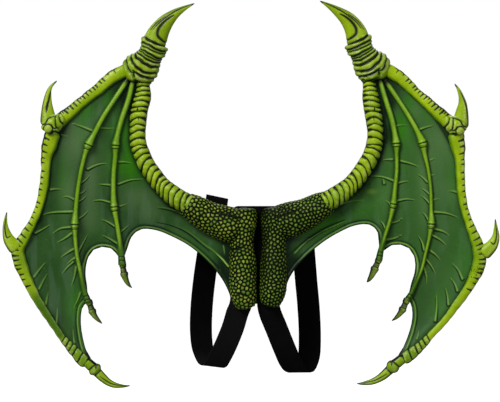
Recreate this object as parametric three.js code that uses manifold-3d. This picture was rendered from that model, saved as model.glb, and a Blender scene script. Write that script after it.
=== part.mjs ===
// Costume dragon wings: two moulded latex wings on scaled bases, a black back panel and two elastic
// shoulder loops. Millimetres, +Z up. The wearer stands at +Y, and the painted side faces -Y.
// The origin is the middle of the panel's rear face, which lies on the wearer's back.

import * as THREE from 'three';
import { mergeVertices } from 'three/addons/utils/BufferGeometryUtils.js';
import Module from 'manifold-3d';

const wasm = await Module();
wasm.setup();

// Overall sizes
const WING_REACH = 500; // from the middle to a wing's outer side, which the out columns are shares of
const WING_RISE = 500; // from the origin to the thumb claw's tip, which the up columns are shares of
const WING_CUP = 100; // how far the wings may come forward, which the fore columns are shares of
const GAP = 0.3; // clearance between pieces

// Widths of the sub-parts where their wide column says 1
const THUMB_CLAW_WIDTH = 46;
const WRIST_WIDTH = 60;
const ARM_WIDTH = 32;
const LEAD_BONE_WIDTH = 24;
const ELBOW_WIDTH = 36;
const SPUR_WIDTH = 34;
const TIP_KNUCKLE_WIDTH = 24;
const TIP_CLAW_WIDTH = 20;
const FINGER_WIDTH = 10;
const FINGER_CLAW_WIDTH = 14;
const SHOULDER_WIDTH = 64;
const BASE_WIDTH = 56;

// Rings and bands
const ARM_RINGS = 26;
const ARM_RING_DEPTH = 0.12; // share of the arm's width
const WRIST_BANDS = 9;
const WRIST_BAND_DEPTH = 0.07; // share of the wrist's width

// Web between the bones
const WEB_THICKNESS = 3;
const WEB_SAG = 0.07; // share of the distance between two bones
const HEM_PULL = 3; // the power by which the hem's curve fades towards the wrist
const WEB_ROWS = 8;
const WEB_COLUMNS = [4, 7, 9]; // in the outer, middle and inner panel
const FINGER_REAR = 1; // depth of a finger's flat rear, which lies on the web

// Back panel and straps
const PANEL_WIDTH = 104;
const PANEL_HEIGHT = 196;
const PANEL_THICKNESS = 3.5;
const PANEL_CORNER = 12;
const STRAP_WIDTH = 45;
const STRAP_THICKNESS = 1.8;
const STRAP_REACH = 115; // how far a loop stands off the bases, which the back column is a share of
const STRAP_STEPS = 40;
const STRAP_LAYER = -(PANEL_THICKNESS + GAP + STRAP_THICKNESS / 2); // middle of the sewn ends
const BASE_BACK = STRAP_LAYER - STRAP_THICKNESS / 2 - GAP; // flat rear face of the scaled bases

// Each row is one section of a sub-part in both wings. outL and upL place it in the left wing, outR and
// upR in the right one, which hangs a little further in. wide is its width.
const THUMB_CLAW = [
  { outL: 0.42, upL: 0.836, outR: 0.406, upR: 0.84, fore: 0.46, wide: 0.98 },
  { outL: 0.41, upL: 0.858, outR: 0.398, upR: 0.864, fore: 0.46, wide: 1 },
  { outL: 0.4, upL: 0.882, outR: 0.392, upR: 0.886, fore: 0.47, wide: 0.94 },
  { outL: 0.386, upL: 0.906, outR: 0.378, upR: 0.914, fore: 0.49, wide: 0.82 },
  { outL: 0.364, upL: 0.934, outR: 0.354, upR: 0.944, fore: 0.52, wide: 0.66 },
  { outL: 0.332, upL: 0.962, outR: 0.318, upR: 0.972, fore: 0.56, wide: 0.43 },
  { outL: 0.294, upL: 0.985, outR: 0.282, upR: 0.995, fore: 0.6, wide: 0.22 },
  { outL: 0.253, upL: 1.004, outR: 0.246, upR: 1.014, fore: 0.64, wide: 0.04 },
];
const WRIST = [
  { outL: 0.41, upL: 0.856, outR: 0.4, upR: 0.862, fore: 0.46, wide: 0.81 },
  { outL: 0.422, upL: 0.822, outR: 0.412, upR: 0.824, fore: 0.46, wide: 0.84 },
  { outL: 0.448, upL: 0.78, outR: 0.436, upR: 0.788, fore: 0.46, wide: 0.99 },
  { outL: 0.464, upL: 0.752, outR: 0.452, upR: 0.76, fore: 0.45, wide: 1.12 },
  { outL: 0.474, upL: 0.726, outR: 0.462, upR: 0.732, fore: 0.45, wide: 1.05 },
  { outL: 0.468, upL: 0.7, outR: 0.456, upR: 0.704, fore: 0.44, wide: 0.67 },
];
const ARM = [
  { outL: 0.456, upL: 0.716, outR: 0.444, upR: 0.716, fore: 0.44, wide: 0.9 },
  { outL: 0.458, upL: 0.684, outR: 0.444, upR: 0.684, fore: 0.44, wide: 0.91 },
  { outL: 0.458, upL: 0.636, outR: 0.448, upR: 0.636, fore: 0.44, wide: 1 },
  { outL: 0.472, upL: 0.584, outR: 0.456, upR: 0.584, fore: 0.43, wide: 1 },
  { outL: 0.478, upL: 0.532, outR: 0.464, upR: 0.532, fore: 0.42, wide: 0.98 },
  { outL: 0.48, upL: 0.484, outR: 0.468, upR: 0.484, fore: 0.41, wide: 0.92 },
  { outL: 0.478, upL: 0.444, outR: 0.464, upR: 0.44, fore: 0.4, wide: 0.97 },
  { outL: 0.462, upL: 0.4, outR: 0.45, upR: 0.396, fore: 0.38, wide: 0.97 },
  { outL: 0.442, upL: 0.356, outR: 0.428, upR: 0.356, fore: 0.36, wide: 0.99 },
  { outL: 0.418, upL: 0.322, outR: 0.404, upR: 0.32, fore: 0.34, wide: 1 },
  { outL: 0.388, upL: 0.282, outR: 0.374, upR: 0.284, fore: 0.32, wide: 1.02 },
  { outL: 0.356, upL: 0.252, outR: 0.342, upR: 0.256, fore: 0.3, wide: 1.13 },
  { outL: 0.318, upL: 0.224, outR: 0.304, upR: 0.23, fore: 0.28, wide: 1.2 },
  { outL: 0.284, upL: 0.206, outR: 0.272, upR: 0.212, fore: 0.27, wide: 1.2 },
  { outL: 0.244, upL: 0.184, outR: 0.236, upR: 0.188, fore: 0.25, wide: 1.2 },
];
const LEAD_BONE_UPPER = [
  { outL: 0.5, upL: 0.746, outR: 0.488, upR: 0.75, fore: 0.45, wide: 1.1 },
  { outL: 0.536, upL: 0.734, outR: 0.52, upR: 0.736, fore: 0.46, wide: 1.1 },
  { outL: 0.584, upL: 0.708, outR: 0.56, upR: 0.712, fore: 0.47, wide: 1.08 },
  { outL: 0.632, upL: 0.668, outR: 0.6, upR: 0.678, fore: 0.48, wide: 0.98 },
  { outL: 0.68, upL: 0.63, outR: 0.636, upR: 0.642, fore: 0.49, wide: 0.9 },
  { outL: 0.728, upL: 0.59, outR: 0.68, upR: 0.604, fore: 0.5, wide: 0.97 },
  { outL: 0.768, upL: 0.556, outR: 0.72, upR: 0.566, fore: 0.5, wide: 1.1 },
  { outL: 0.804, upL: 0.528, outR: 0.768, upR: 0.524, fore: 0.5, wide: 1.2 },
];
const ELBOW = [
  { outL: 0.78, upL: 0.556, outR: 0.744, upR: 0.548, fore: 0.5, wide: 0.62 },
  { outL: 0.804, upL: 0.536, outR: 0.768, upR: 0.53, fore: 0.52, wide: 0.92 },
  { outL: 0.828, upL: 0.512, outR: 0.796, upR: 0.508, fore: 0.52, wide: 1 },
  { outL: 0.846, upL: 0.49, outR: 0.812, upR: 0.486, fore: 0.5, wide: 0.7 },
];
const SPUR_UPPER = [
  { outL: 0.836, upL: 0.536, outR: 0.808, upR: 0.524, fore: 0.5, wide: 0.97 },
  { outL: 0.84, upL: 0.576, outR: 0.814, upR: 0.572, fore: 0.52, wide: 0.74 },
  { outL: 0.84, upL: 0.616, outR: 0.816, upR: 0.604, fore: 0.54, wide: 0.5 },
  { outL: 0.834, upL: 0.652, outR: 0.81, upR: 0.634, fore: 0.56, wide: 0.31 },
  { outL: 0.824, upL: 0.674, outR: 0.8, upR: 0.66, fore: 0.57, wide: 0.19 },
  { outL: 0.802, upL: 0.696, outR: 0.784, upR: 0.684, fore: 0.58, wide: 0.05 },
];
const LEAD_BONE_LOWER = [
  { outL: 0.816, upL: 0.496, outR: 0.788, upR: 0.492, fore: 0.5, wide: 1.4 },
  { outL: 0.834, upL: 0.436, outR: 0.798, upR: 0.436, fore: 0.49, wide: 1.25 },
  { outL: 0.846, upL: 0.38, outR: 0.806, upR: 0.38, fore: 0.47, wide: 0.86 },
  { outL: 0.85, upL: 0.32, outR: 0.808, upR: 0.32, fore: 0.45, wide: 0.76 },
  { outL: 0.858, upL: 0.26, outR: 0.812, upR: 0.26, fore: 0.42, wide: 0.75 },
  { outL: 0.874, upL: 0.196, outR: 0.822, upR: 0.196, fore: 0.39, wide: 0.66 },
  { outL: 0.9, upL: 0.132, outR: 0.842, upR: 0.132, fore: 0.36, wide: 0.7 },
  { outL: 0.932, upL: 0.076, outR: 0.866, upR: 0.072, fore: 0.33, wide: 0.9 },
  { outL: 0.96, upL: 0.02, outR: 0.886, upR: 0.008, fore: 0.3, wide: 1.12 },
  { outL: 0.95, upL: -0.032, outR: 0.882, upR: -0.044, fore: 0.27, wide: 1.13 },
  { outL: 0.928, upL: -0.088, outR: 0.86, upR: -0.096, fore: 0.24, wide: 0.92 },
  { outL: 0.896, upL: -0.156, outR: 0.828, upR: -0.152, fore: 0.2, wide: 0.77 },
  { outL: 0.856, upL: -0.224, outR: 0.788, upR: -0.208, fore: 0.16, wide: 0.67 },
  { outL: 0.814, upL: -0.288, outR: 0.752, upR: -0.258, fore: 0.12, wide: 0.58 },
  { outL: 0.782, upL: -0.334, outR: 0.694, upR: -0.32, fore: 0.09, wide: 0.56 },
  { outL: 0.75, upL: -0.37, outR: 0.648, upR: -0.368, fore: 0.07, wide: 0.75 },
  { outL: 0.716, upL: -0.408, outR: 0.614, upR: -0.396, fore: 0.05, wide: 0.92 },
  { outL: 0.684, upL: -0.44, outR: 0.578, upR: -0.424, fore: 0.04, wide: 1 },
];
const SPUR_LOWER = [
  { outL: 0.972, upL: 0.032, outR: 0.908, upR: 0.012, fore: 0.3, wide: 0.86 },
  { outL: 0.994, upL: 0.06, outR: 0.936, upR: 0.04, fore: 0.31, wide: 0.7 },
  { outL: 1.006, upL: 0.092, outR: 0.95, upR: 0.072, fore: 0.32, wide: 0.46 },
  { outL: 1.01, upL: 0.124, outR: 0.951, upR: 0.102, fore: 0.33, wide: 0.27 },
  { outL: 1.008, upL: 0.148, outR: 0.95, upR: 0.122, fore: 0.34, wide: 0.16 },
  { outL: 1.004, upL: 0.172, outR: 0.948, upR: 0.144, fore: 0.35, wide: 0.05 },
];
const TIP_KNUCKLE = [
  { outL: 0.682, upL: -0.432, outR: 0.576, upR: -0.418, fore: 0.04, wide: 0.86 },
  { outL: 0.666, upL: -0.447, outR: 0.556, upR: -0.434, fore: 0.04, wide: 0.9 },
  { outL: 0.654, upL: -0.458, outR: 0.542, upR: -0.446, fore: 0.04, wide: 1.05 },
  { outL: 0.64, upL: -0.472, outR: 0.524, upR: -0.464, fore: 0.03, wide: 0.7 },
];
const TIP_CLAW = [
  { outL: 0.652, upL: -0.462, outR: 0.534, upR: -0.454, fore: 0.03, wide: 1 },
  { outL: 0.622, upL: -0.492, outR: 0.504, upR: -0.482, fore: 0.03, wide: 0.88 },
  { outL: 0.6, upL: -0.51, outR: 0.48, upR: -0.498, fore: 0.02, wide: 0.73 },
  { outL: 0.576, upL: -0.521, outR: 0.454, upR: -0.509, fore: 0.02, wide: 0.6 },
  { outL: 0.554, upL: -0.525, outR: 0.43, upR: -0.514, fore: 0.01, wide: 0.42 },
  { outL: 0.532, upL: -0.526, outR: 0.412, upR: -0.516, fore: 0, wide: 0.26 },
  { outL: 0.512, upL: -0.524, outR: 0.396, upR: -0.516, fore: 0, wide: 0.08 },
];
const FINGER_2 = [
  { outL: 0.516, upL: 0.708, outR: 0.506, upR: 0.7, fore: 0.44, wide: 0.9 },
  { outL: 0.578, upL: 0.62, outR: 0.564, upR: 0.62, fore: 0.46, wide: 0.95 },
  { outL: 0.62, upL: 0.548, outR: 0.616, upR: 0.548, fore: 0.47, wide: 1 },
  { outL: 0.656, upL: 0.48, outR: 0.642, upR: 0.492, fore: 0.46, wide: 1.1 },
  { outL: 0.676, upL: 0.442, outR: 0.658, upR: 0.45, fore: 0.45, wide: 1.7 },
  { outL: 0.69, upL: 0.404, outR: 0.667, upR: 0.404, fore: 0.44, wide: 1 },
  { outL: 0.706, upL: 0.34, outR: 0.682, upR: 0.34, fore: 0.42, wide: 1 },
  { outL: 0.72, upL: 0.26, outR: 0.69, upR: 0.26, fore: 0.39, wide: 1 },
  { outL: 0.728, upL: 0.18, outR: 0.692, upR: 0.18, fore: 0.35, wide: 1.05 },
  { outL: 0.732, upL: 0.132, outR: 0.693, upR: 0.132, fore: 0.33, wide: 1.5 },
  { outL: 0.731, upL: 0.076, outR: 0.685, upR: 0.072, fore: 0.3, wide: 1.05 },
  { outL: 0.724, upL: 0, outR: 0.669, upR: 0, fore: 0.25, wide: 1 },
  { outL: 0.712, upL: -0.06, outR: 0.654, upR: -0.06, fore: 0.21, wide: 0.95 },
  { outL: 0.696, upL: -0.14, outR: 0.62, upR: -0.14, fore: 0.16, wide: 0.95 },
  { outL: 0.68, upL: -0.188, outR: 0.598, upR: -0.18, fore: 0.13, wide: 1.1 },
];
const FINGER_2_CLAW = [
  { outL: 0.674, upL: -0.188, outR: 0.595, upR: -0.18, fore: 0.13, wide: 0.9 },
  { outL: 0.662, upL: -0.216, outR: 0.584, upR: -0.206, fore: 0.12, wide: 1 },
  { outL: 0.652, upL: -0.238, outR: 0.57, upR: -0.228, fore: 0.12, wide: 0.78 },
  { outL: 0.64, upL: -0.256, outR: 0.554, upR: -0.248, fore: 0.11, wide: 0.5 },
  { outL: 0.626, upL: -0.274, outR: 0.536, upR: -0.264, fore: 0.1, wide: 0.1 },
];
const FINGER_3 = [
  { outL: 0.496, upL: 0.704, outR: 0.484, upR: 0.708, fore: 0.44, wide: 0.8 },
  { outL: 0.516, upL: 0.62, outR: 0.51, upR: 0.62, fore: 0.44, wide: 0.85 },
  { outL: 0.544, upL: 0.544, outR: 0.534, upR: 0.544, fore: 0.43, wide: 0.9 },
  { outL: 0.56, upL: 0.484, outR: 0.546, upR: 0.488, fore: 0.42, wide: 1 },
  { outL: 0.568, upL: 0.444, outR: 0.552, upR: 0.45, fore: 0.41, wide: 1.5 },
  { outL: 0.569, upL: 0.396, outR: 0.556, upR: 0.396, fore: 0.39, wide: 0.92 },
  { outL: 0.574, upL: 0.332, outR: 0.555, upR: 0.332, fore: 0.37, wide: 0.92 },
  { outL: 0.575, upL: 0.252, outR: 0.548, upR: 0.26, fore: 0.33, wide: 0.92 },
  { outL: 0.573, upL: 0.194, outR: 0.541, upR: 0.202, fore: 0.3, wide: 1.3 },
  { outL: 0.564, upL: 0.132, outR: 0.524, upR: 0.14, fore: 0.27, wide: 0.92 },
  { outL: 0.554, upL: 0.06, outR: 0.505, upR: 0.076, fore: 0.23, wide: 0.92 },
  { outL: 0.546, upL: -0.004, outR: 0.49, upR: 0.02, fore: 0.19, wide: 1 },
  { outL: 0.542, upL: -0.032, outR: 0.486, upR: -0.014, fore: 0.17, wide: 1.6 },
];
const FINGER_3_CLAW = [
  { outL: 0.542, upL: -0.03, outR: 0.485, upR: -0.014, fore: 0.17, wide: 0.9 },
  { outL: 0.537, upL: -0.072, outR: 0.467, upR: -0.058, fore: 0.16, wide: 1 },
  { outL: 0.528, upL: -0.1, outR: 0.454, upR: -0.084, fore: 0.15, wide: 0.65 },
  { outL: 0.518, upL: -0.116, outR: 0.444, upR: -0.099, fore: 0.14, wide: 0.35 },
  { outL: 0.506, upL: -0.13, outR: 0.436, upR: -0.11, fore: 0.13, wide: 0.1 },
];
const SHOULDER = [
  { outL: 0.29, upL: 0.206, outR: 0.284, upR: 0.208, fore: 0.24, wide: 0.5 },
  { outL: 0.248, upL: 0.178, outR: 0.24, upR: 0.188, fore: 0.21, wide: 0.8 },
  { outL: 0.192, upL: 0.148, outR: 0.188, upR: 0.162, fore: 0.17, wide: 1 },
  { outL: 0.128, upL: 0.124, outR: 0.128, upR: 0.14, fore: 0.15, wide: 1.12 },
  { outL: 0.068, upL: 0.112, outR: 0.068, upR: 0.124, fore: 0.14, wide: 1.1 },
];
const BASE = [
  { outL: 0.06, upL: 0.188, outR: 0.064, upR: 0.192, fore: 0.14, wide: 0.78 },
  { outL: 0.062, upL: 0.148, outR: 0.066, upR: 0.144, fore: 0.14, wide: 0.96 },
  { outL: 0.068, upL: 0.06, outR: 0.064, upR: 0.048, fore: 0.14, wide: 0.9 },
  { outL: 0.069, upL: 0.012, outR: 0.064, upR: 0, fore: 0.14, wide: 0.9 },
  { outL: 0.062, upL: -0.04, outR: 0.066, upR: -0.048, fore: 0.14, wide: 0.98 },
  { outL: 0.062, upL: -0.148, outR: 0.066, upR: -0.132, fore: 0.14, wide: 0.98 },
  { outL: 0.058, upL: -0.192, outR: 0.058, upR: -0.18, fore: 0.13, wide: 0.82 },
  { outL: 0.048, upL: -0.218, outR: 0.042, upR: -0.208, fore: 0.12, wide: 0.4 },
];

// Where the web meets the scaled base, after the arm's last ring
const BASE_EDGE = [
  { outL: 0.232, upL: 0.156, outR: 0.224, upR: 0.168, fore: 0.25 },
  { outL: 0.172, upL: 0.104, outR: 0.164, upR: 0.12, fore: 0.24 },
  { outL: 0.112, upL: 0.036, outR: 0.108, upR: 0.052, fore: 0.22 },
  { outL: 0.1, upL: -0.06, outR: 0.1, upR: -0.052, fore: 0.2 },
  { outL: 0.1, upL: -0.132, outR: 0.102, upR: -0.108, fore: 0.18 },
  { outL: 0.108, upL: -0.176, outR: 0.11, upR: -0.14, fore: 0.17 },
];

// The web's hanging edges, from the outer bone of each panel to its inner one
const OUTER_HEM = [
  { outL: 0.684, upL: -0.44, outR: 0.578, upR: -0.424 },
  { outL: 0.694, upL: -0.376, outR: 0.588, upR: -0.364 },
  { outL: 0.708, upL: -0.3, outR: 0.61, upR: -0.296 },
  { outL: 0.71, upL: -0.252, outR: 0.619, upR: -0.24 },
  { outL: 0.702, upL: -0.208, outR: 0.612, upR: -0.196 },
  { outL: 0.68, upL: -0.188, outR: 0.598, upR: -0.18 },
];
const MIDDLE_HEM = [
  { outL: 0.68, upL: -0.188, outR: 0.598, upR: -0.18 },
  { outL: 0.686, upL: -0.128, outR: 0.614, upR: -0.12 },
  { outL: 0.693, upL: -0.076, outR: 0.63, upR: -0.068 },
  { outL: 0.686, upL: -0.024, outR: 0.63, upR: -0.02 },
  { outL: 0.664, upL: 0.016, outR: 0.612, upR: 0.02 },
  { outL: 0.628, upL: 0.032, outR: 0.576, upR: 0.04 },
  { outL: 0.584, upL: 0.024, outR: 0.532, upR: 0.038 },
  { outL: 0.56, upL: -0.004, outR: 0.504, upR: 0.018 },
  { outL: 0.542, upL: -0.032, outR: 0.486, upR: -0.014 },
];
const INNER_HEM = [
  { outL: 0.542, upL: -0.032, outR: 0.486, upR: -0.014 },
  { outL: 0.526, upL: 0.024, outR: 0.486, upR: 0.04 },
  { outL: 0.508, upL: 0.072, outR: 0.481, upR: 0.092 },
  { outL: 0.472, upL: 0.102, outR: 0.448, upR: 0.121 },
  { outL: 0.412, upL: 0.1, outR: 0.388, upR: 0.118 },
  { outL: 0.344, upL: 0.074, outR: 0.32, upR: 0.088 },
  { outL: 0.272, upL: 0.034, outR: 0.256, upR: 0.048 },
  { outL: 0.204, upL: -0.024, outR: 0.188, upR: -0.01 },
  { outL: 0.152, upL: -0.084, outR: 0.144, upR: -0.062 },
  { outL: 0.122, upL: -0.136, outR: 0.12, upR: -0.104 },
  { outL: 0.108, upL: -0.176, outR: 0.11, upR: -0.14 },
];

// A strap from its lower sewn end, round the loop and over to its upper sewn end. tiltL and tiltR are
// the degrees by which its outer edge is higher than its inner one.
const STRAP = [
  { outL: 0.064, upL: -0.116, outR: 0.042, upR: -0.112, back: 0, tiltL: 8, tiltR: 8 },
  { outL: 0.068, upL: -0.214, outR: 0.046, upR: -0.214, back: 0, tiltL: 8, tiltR: 8 },
  { outL: 0.08, upL: -0.24, outR: 0.056, upR: -0.24, back: 0.05, tiltL: 15, tiltR: 15 },
  { outL: 0.104, upL: -0.284, outR: 0.076, upR: -0.284, back: 0.15, tiltL: 20, tiltR: 20 },
  { outL: 0.14, upL: -0.36, outR: 0.106, upR: -0.36, back: 0.33, tiltL: 22, tiltR: 20 },
  { outL: 0.17, upL: -0.416, outR: 0.136, upR: -0.424, back: 0.53, tiltL: 15, tiltR: 8 },
  { outL: 0.184, upL: -0.44, outR: 0.156, upR: -0.458, back: 0.73, tiltL: 8, tiltR: -3 },
  { outL: 0.198, upL: -0.434, outR: 0.176, upR: -0.456, back: 0.89, tiltL: 7, tiltR: -4 },
  { outL: 0.218, upL: -0.388, outR: 0.196, upR: -0.412, back: 1, tiltL: 7, tiltR: 0 },
  { outL: 0.228, upL: -0.32, outR: 0.208, upR: -0.332, back: 1, tiltL: 6, tiltR: 3 },
  { outL: 0.227, upL: -0.22, outR: 0.203, upR: -0.22, back: 0.9, tiltL: 5, tiltR: 4 },
  { outL: 0.216, upL: -0.1, outR: 0.194, upR: -0.1, back: 0.7, tiltL: 6, tiltR: 4 },
  { outL: 0.198, upL: 0.02, outR: 0.184, upR: 0.02, back: 0.46, tiltL: 8, tiltR: 4 },
  { outL: 0.18, upL: 0.132, outR: 0.176, upR: 0.12, back: 0.24, tiltL: 10, tiltR: 4 },
  { outL: 0.167, upL: 0.206, outR: 0.17, upR: 0.186, back: 0.1, tiltL: 12, tiltR: 4 },
  { outL: 0.163, upL: 0.234, outR: 0.168, upR: 0.208, back: 0.05, tiltL: 12, tiltR: 4 },
  { outL: 0.165, upL: 0.218, outR: 0.169, upR: 0.194, back: 0, tiltL: 12, tiltR: 4 },
  { outL: 0.173, upL: 0.164, outR: 0.172, upR: 0.132, back: 0, tiltL: 12, tiltR: 4 },
];

const BACKWARD = new THREE.Vector3(0, 1, 0);

const LEFT = { name: 'left', sign: -1, out: 'outL', up: 'upL', tilt: 'tiltL' };
const RIGHT = { name: 'right', sign: 1, out: 'outR', up: 'upR', tilt: 'tiltR' };

// A closed geometry as a solid that can be joined and cut
function toSolid(geometry) {
  const bare = geometry.clone();
  bare.deleteAttribute('normal');
  bare.deleteAttribute('uv');
  const merged = mergeVertices(bare);
  const vertProperties = new Float32Array(merged.attributes.position.array);
  const triVerts = new Uint32Array(merged.index.array);
  return new wasm.Manifold(new wasm.Mesh({ numProp: 3, vertProperties, triVerts }));
}

function toGeometry(solid) {
  const { vertProperties, triVerts } = solid.getMesh();
  const geometry = new THREE.BufferGeometry();
  geometry.setAttribute('position', new THREE.BufferAttribute(vertProperties, 3));
  geometry.setIndex(new THREE.BufferAttribute(triVerts, 1));
  geometry.computeVertexNormals();
  return geometry;
}

// Moves every point of a geometry to where place(point) puts it
function bend(geometry, place) {
  const { position } = geometry.attributes;
  const point = new THREE.Vector3();
  for (let i = 0; i < position.count; i += 1) {
    const { x, y, z } = place(point.fromBufferAttribute(position, i));
    position.setXYZ(i, x, y, z);
  }
  return toSolid(geometry);
}

function placeRow(wing, row, forward = 0) {
  const x = wing.sign * row[wing.out] * WING_REACH;
  return new THREE.Vector3(x, -row.fore * WING_CUP - forward, row[wing.up] * WING_RISE);
}

function routeOf(wing, rows, forward = 0) {
  return new THREE.CatmullRomCurve3(rows.map((row) => placeRow(wing, row, forward)), false, 'centripetal');
}

// A round bone or claw through the rows' sections. front and rear are its depths as shares of its half
// width, flatRear is the rear depth where it is the same all along, rings pinches the width between
// bands, and grow makes the bone larger all round for a clearance.
function bone(wing, rows, form, grow = 0) {
  const { width, sides = 8, steps, front = 0.8, rear = 0.8, rings = 0, flatRear = 0, forward = 0 } = form;
  const route = routeOf(wing, rows, forward);
  const girths = new THREE.CatmullRomCurve3(
    rows.map((row) => new THREE.Vector3(row.wide * width, 0, 0)), false, 'centripetal');
  const cylinder = new THREE.CylinderGeometry(1, 1, 1, sides, steps, false, Math.PI / 2);
  return bend(cylinder, ({ x, y, z }) => {
    const share = y + 0.5;
    const t = route.getUtoTmapping(share);
    const ahead = route.getTangent(t);
    const across = ahead.clone().cross(BACKWARD).normalize();
    const behind = across.clone().cross(ahead);
    const pinch = rings && Math.round(share * steps) % 2 === 0 ? 1 - rings : 1;
    const half = girthAt(girths, t) * pinch / 2;
    const rearDepth = flatRear || half * rear;
    const depth = (z < 0 ? half * front : rearDepth) + grow;
    const endShift = (share < 0.5 / steps ? -grow : 0) + (share > 1 - 0.5 / steps ? grow : 0);
    return route.getPoint(t)
      .addScaledVector(across, x * (half + grow))
      .addScaledVector(behind, z * depth)
      .addScaledVector(ahead, endShift);
  });
}

function girthAt(girths, t) {
  return Math.max(girths.getPoint(t).x, 0.8);
}

// What is left of a solid once its neighbours and the clearance round them are taken off it
function fit(solid, ...neighbours) {
  const parts = neighbours.reduce((left, other) => left.subtract(other), solid).decompose();
  return parts.reduce((a, b) => (a.volume() > b.volume() ? a : b));
}

// The web's three panels hang between four rails: lead bone, two fingers, and arm with base
function webPanels(wing) {
  const rail = (rows) => routeOf(wing, rows);
  const lead = rail([...LEAD_BONE_UPPER.slice(0, -1), ...LEAD_BONE_LOWER.slice(1)]);
  const inner = rail([...ARM.slice(0, -1), ...BASE_EDGE]);
  const rails = [lead, rail(FINGER_2), rail(FINGER_3), inner];
  return [OUTER_HEM, MIDDLE_HEM, INNER_HEM].map((rows, i) => {
    const ends = [rails[i].getPoint(1), rails[i + 1].getPoint(1)];
    const hem = new THREE.CatmullRomCurve3(rows.map((row, k) => {
      const depth = THREE.MathUtils.lerp(ends[0].y, ends[1].y, k / (rows.length - 1));
      return new THREE.Vector3(wing.sign * row[wing.out] * WING_REACH, depth, row[wing.up] * WING_RISE);
    }), false, 'centripetal');
    return { outer: rails[i], inner: rails[i + 1], hem };
  });
}

// A point of the web: across runs through the three panels, down from the wrist to the hem
function webPoint(panels, across, down) {
  const i = Math.min(Math.floor(across), panels.length - 1);
  const share = across - i;
  const { outer, inner, hem } = panels[i];
  const chord = (d) => outer.getPointAt(d).lerp(inner.getPointAt(d), share);
  const pull = hem.getPointAt(share).sub(chord(1)).multiplyScalar(down ** HEM_PULL);
  const width = outer.getPointAt(down).distanceTo(inner.getPointAt(down));
  const sag = WEB_SAG * width * Math.sin(Math.PI * share);
  return chord(down).add(pull).addScaledVector(BACKWARD, sag);
}

function webSheet(wing) {
  const panels = webPanels(wing);
  const nudge = 0.004;
  const { clamp } = THREE.MathUtils;
  const at = (a, d) => webPoint(panels, clamp(a, 0, panels.length), clamp(d, 0, 1));
  const columns = WEB_COLUMNS.flatMap((count, i) => Array.from({ length: count }, (_, k) => i + k / count));
  columns.push(panels.length);
  return bend(new THREE.BoxGeometry(1, 1, 1, columns.length - 1, WEB_ROWS, 1), ({ x, y, z }) => {
    const across = columns[Math.round((x + 0.5) * (columns.length - 1))];
    const down = 0.5 - y;
    const alongRow = at(across + nudge, down).sub(at(across - nudge, down));
    const alongColumn = at(across, down - nudge).sub(at(across, down + nudge));
    const normal = alongRow.cross(alongColumn).normalize();
    return at(across, down).addScaledVector(normal, z * WEB_THICKNESS);
  });
}

function strapLoop(wing) {
  const route = new THREE.CatmullRomCurve3(STRAP.map((row) => new THREE.Vector3(
    wing.sign * row[wing.out] * WING_REACH, STRAP_LAYER + row.back * STRAP_REACH, row[wing.up] * WING_RISE,
  )), false, 'centripetal');
  const tilts = new THREE.CatmullRomCurve3(STRAP.map((row) => new THREE.Vector3(row[wing.tilt], 0, 0)));
  return bend(new THREE.BoxGeometry(1, 1, 1, 1, STRAP_STEPS, 1), ({ x, y, z }) => {
    const t = route.getUtoTmapping(y + 0.5);
    const tilt = THREE.MathUtils.degToRad(tilts.getPoint(t).x);
    const across = new THREE.Vector3(wing.sign * Math.cos(tilt), 0, Math.sin(tilt));
    const normal = across.clone().cross(route.getTangent(t)).normalize();
    const middle = route.getPoint(t);
    middle.y = Math.max(middle.y, STRAP_LAYER);
    return middle
      .addScaledVector(across, x * STRAP_WIDTH)
      .addScaledVector(normal, z * STRAP_THICKNESS);
  });
}

function backPanel() {
  const w = PANEL_WIDTH / 2;
  const h = PANEL_HEIGHT / 2;
  const r = PANEL_CORNER;
  const outline = new THREE.Shape();
  outline.moveTo(-w + r, -h);
  outline.lineTo(w - r, -h);
  outline.absarc(w - r, -h + r, r, -Math.PI / 2, 0);
  outline.absarc(w - r, h - r, r, 0, Math.PI / 2);
  outline.absarc(-w + r, h - r, r, Math.PI / 2, Math.PI);
  outline.absarc(-w + r, -h + r, r, Math.PI, Math.PI * 1.5);
  const panel = new THREE.ExtrudeGeometry(outline, { depth: PANEL_THICKNESS, bevelEnabled: false, curveSegments: 5 });
  return toSolid(panel.rotateX(Math.PI / 2));
}

// Everything in front of the bases' flat rear face, less the clearance
function inFrontOfBack(grow = 0) {
  const size = 4 * Math.max(WING_REACH, WING_RISE);
  const block = new THREE.BoxGeometry(size, size, size);
  return toSolid(block.translate(0, BASE_BACK + grow - size / 2, 0));
}

const bandedWrist = { width: WRIST_WIDTH, steps: WRIST_BANDS * 2, rings: WRIST_BAND_DEPTH };
const smoothArm = { width: ARM_WIDTH, sides: 6, steps: ARM_RINGS - 6, front: 0.9 };
const ringedArm = { ...smoothArm, steps: ARM_RINGS * 2, rings: ARM_RING_DEPTH };
const shoulderForm = { width: SHOULDER_WIDTH, sides: 10, steps: 6, front: 0.95, rear: 0.7 };
const baseForm = { width: BASE_WIDTH, sides: 10, steps: 11, front: 1.05, rear: 0.8 };
const fingerForm = {
  width: FINGER_WIDTH,
  sides: 6,
  steps: 22,
  front: 1,
  flatRear: FINGER_REAR,
  forward: WEB_THICKNESS / 2 + GAP + FINGER_REAR,
};
const fingerClawForm = { width: FINGER_CLAW_WIDTH, sides: 6, steps: 7 };

function scaledBase(wing, grow = 0) {
  const lobes = bone(wing, SHOULDER, shoulderForm, grow).add(bone(wing, BASE, baseForm, grow));
  return lobes.intersect(inFrontOfBack(grow));
}

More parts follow.
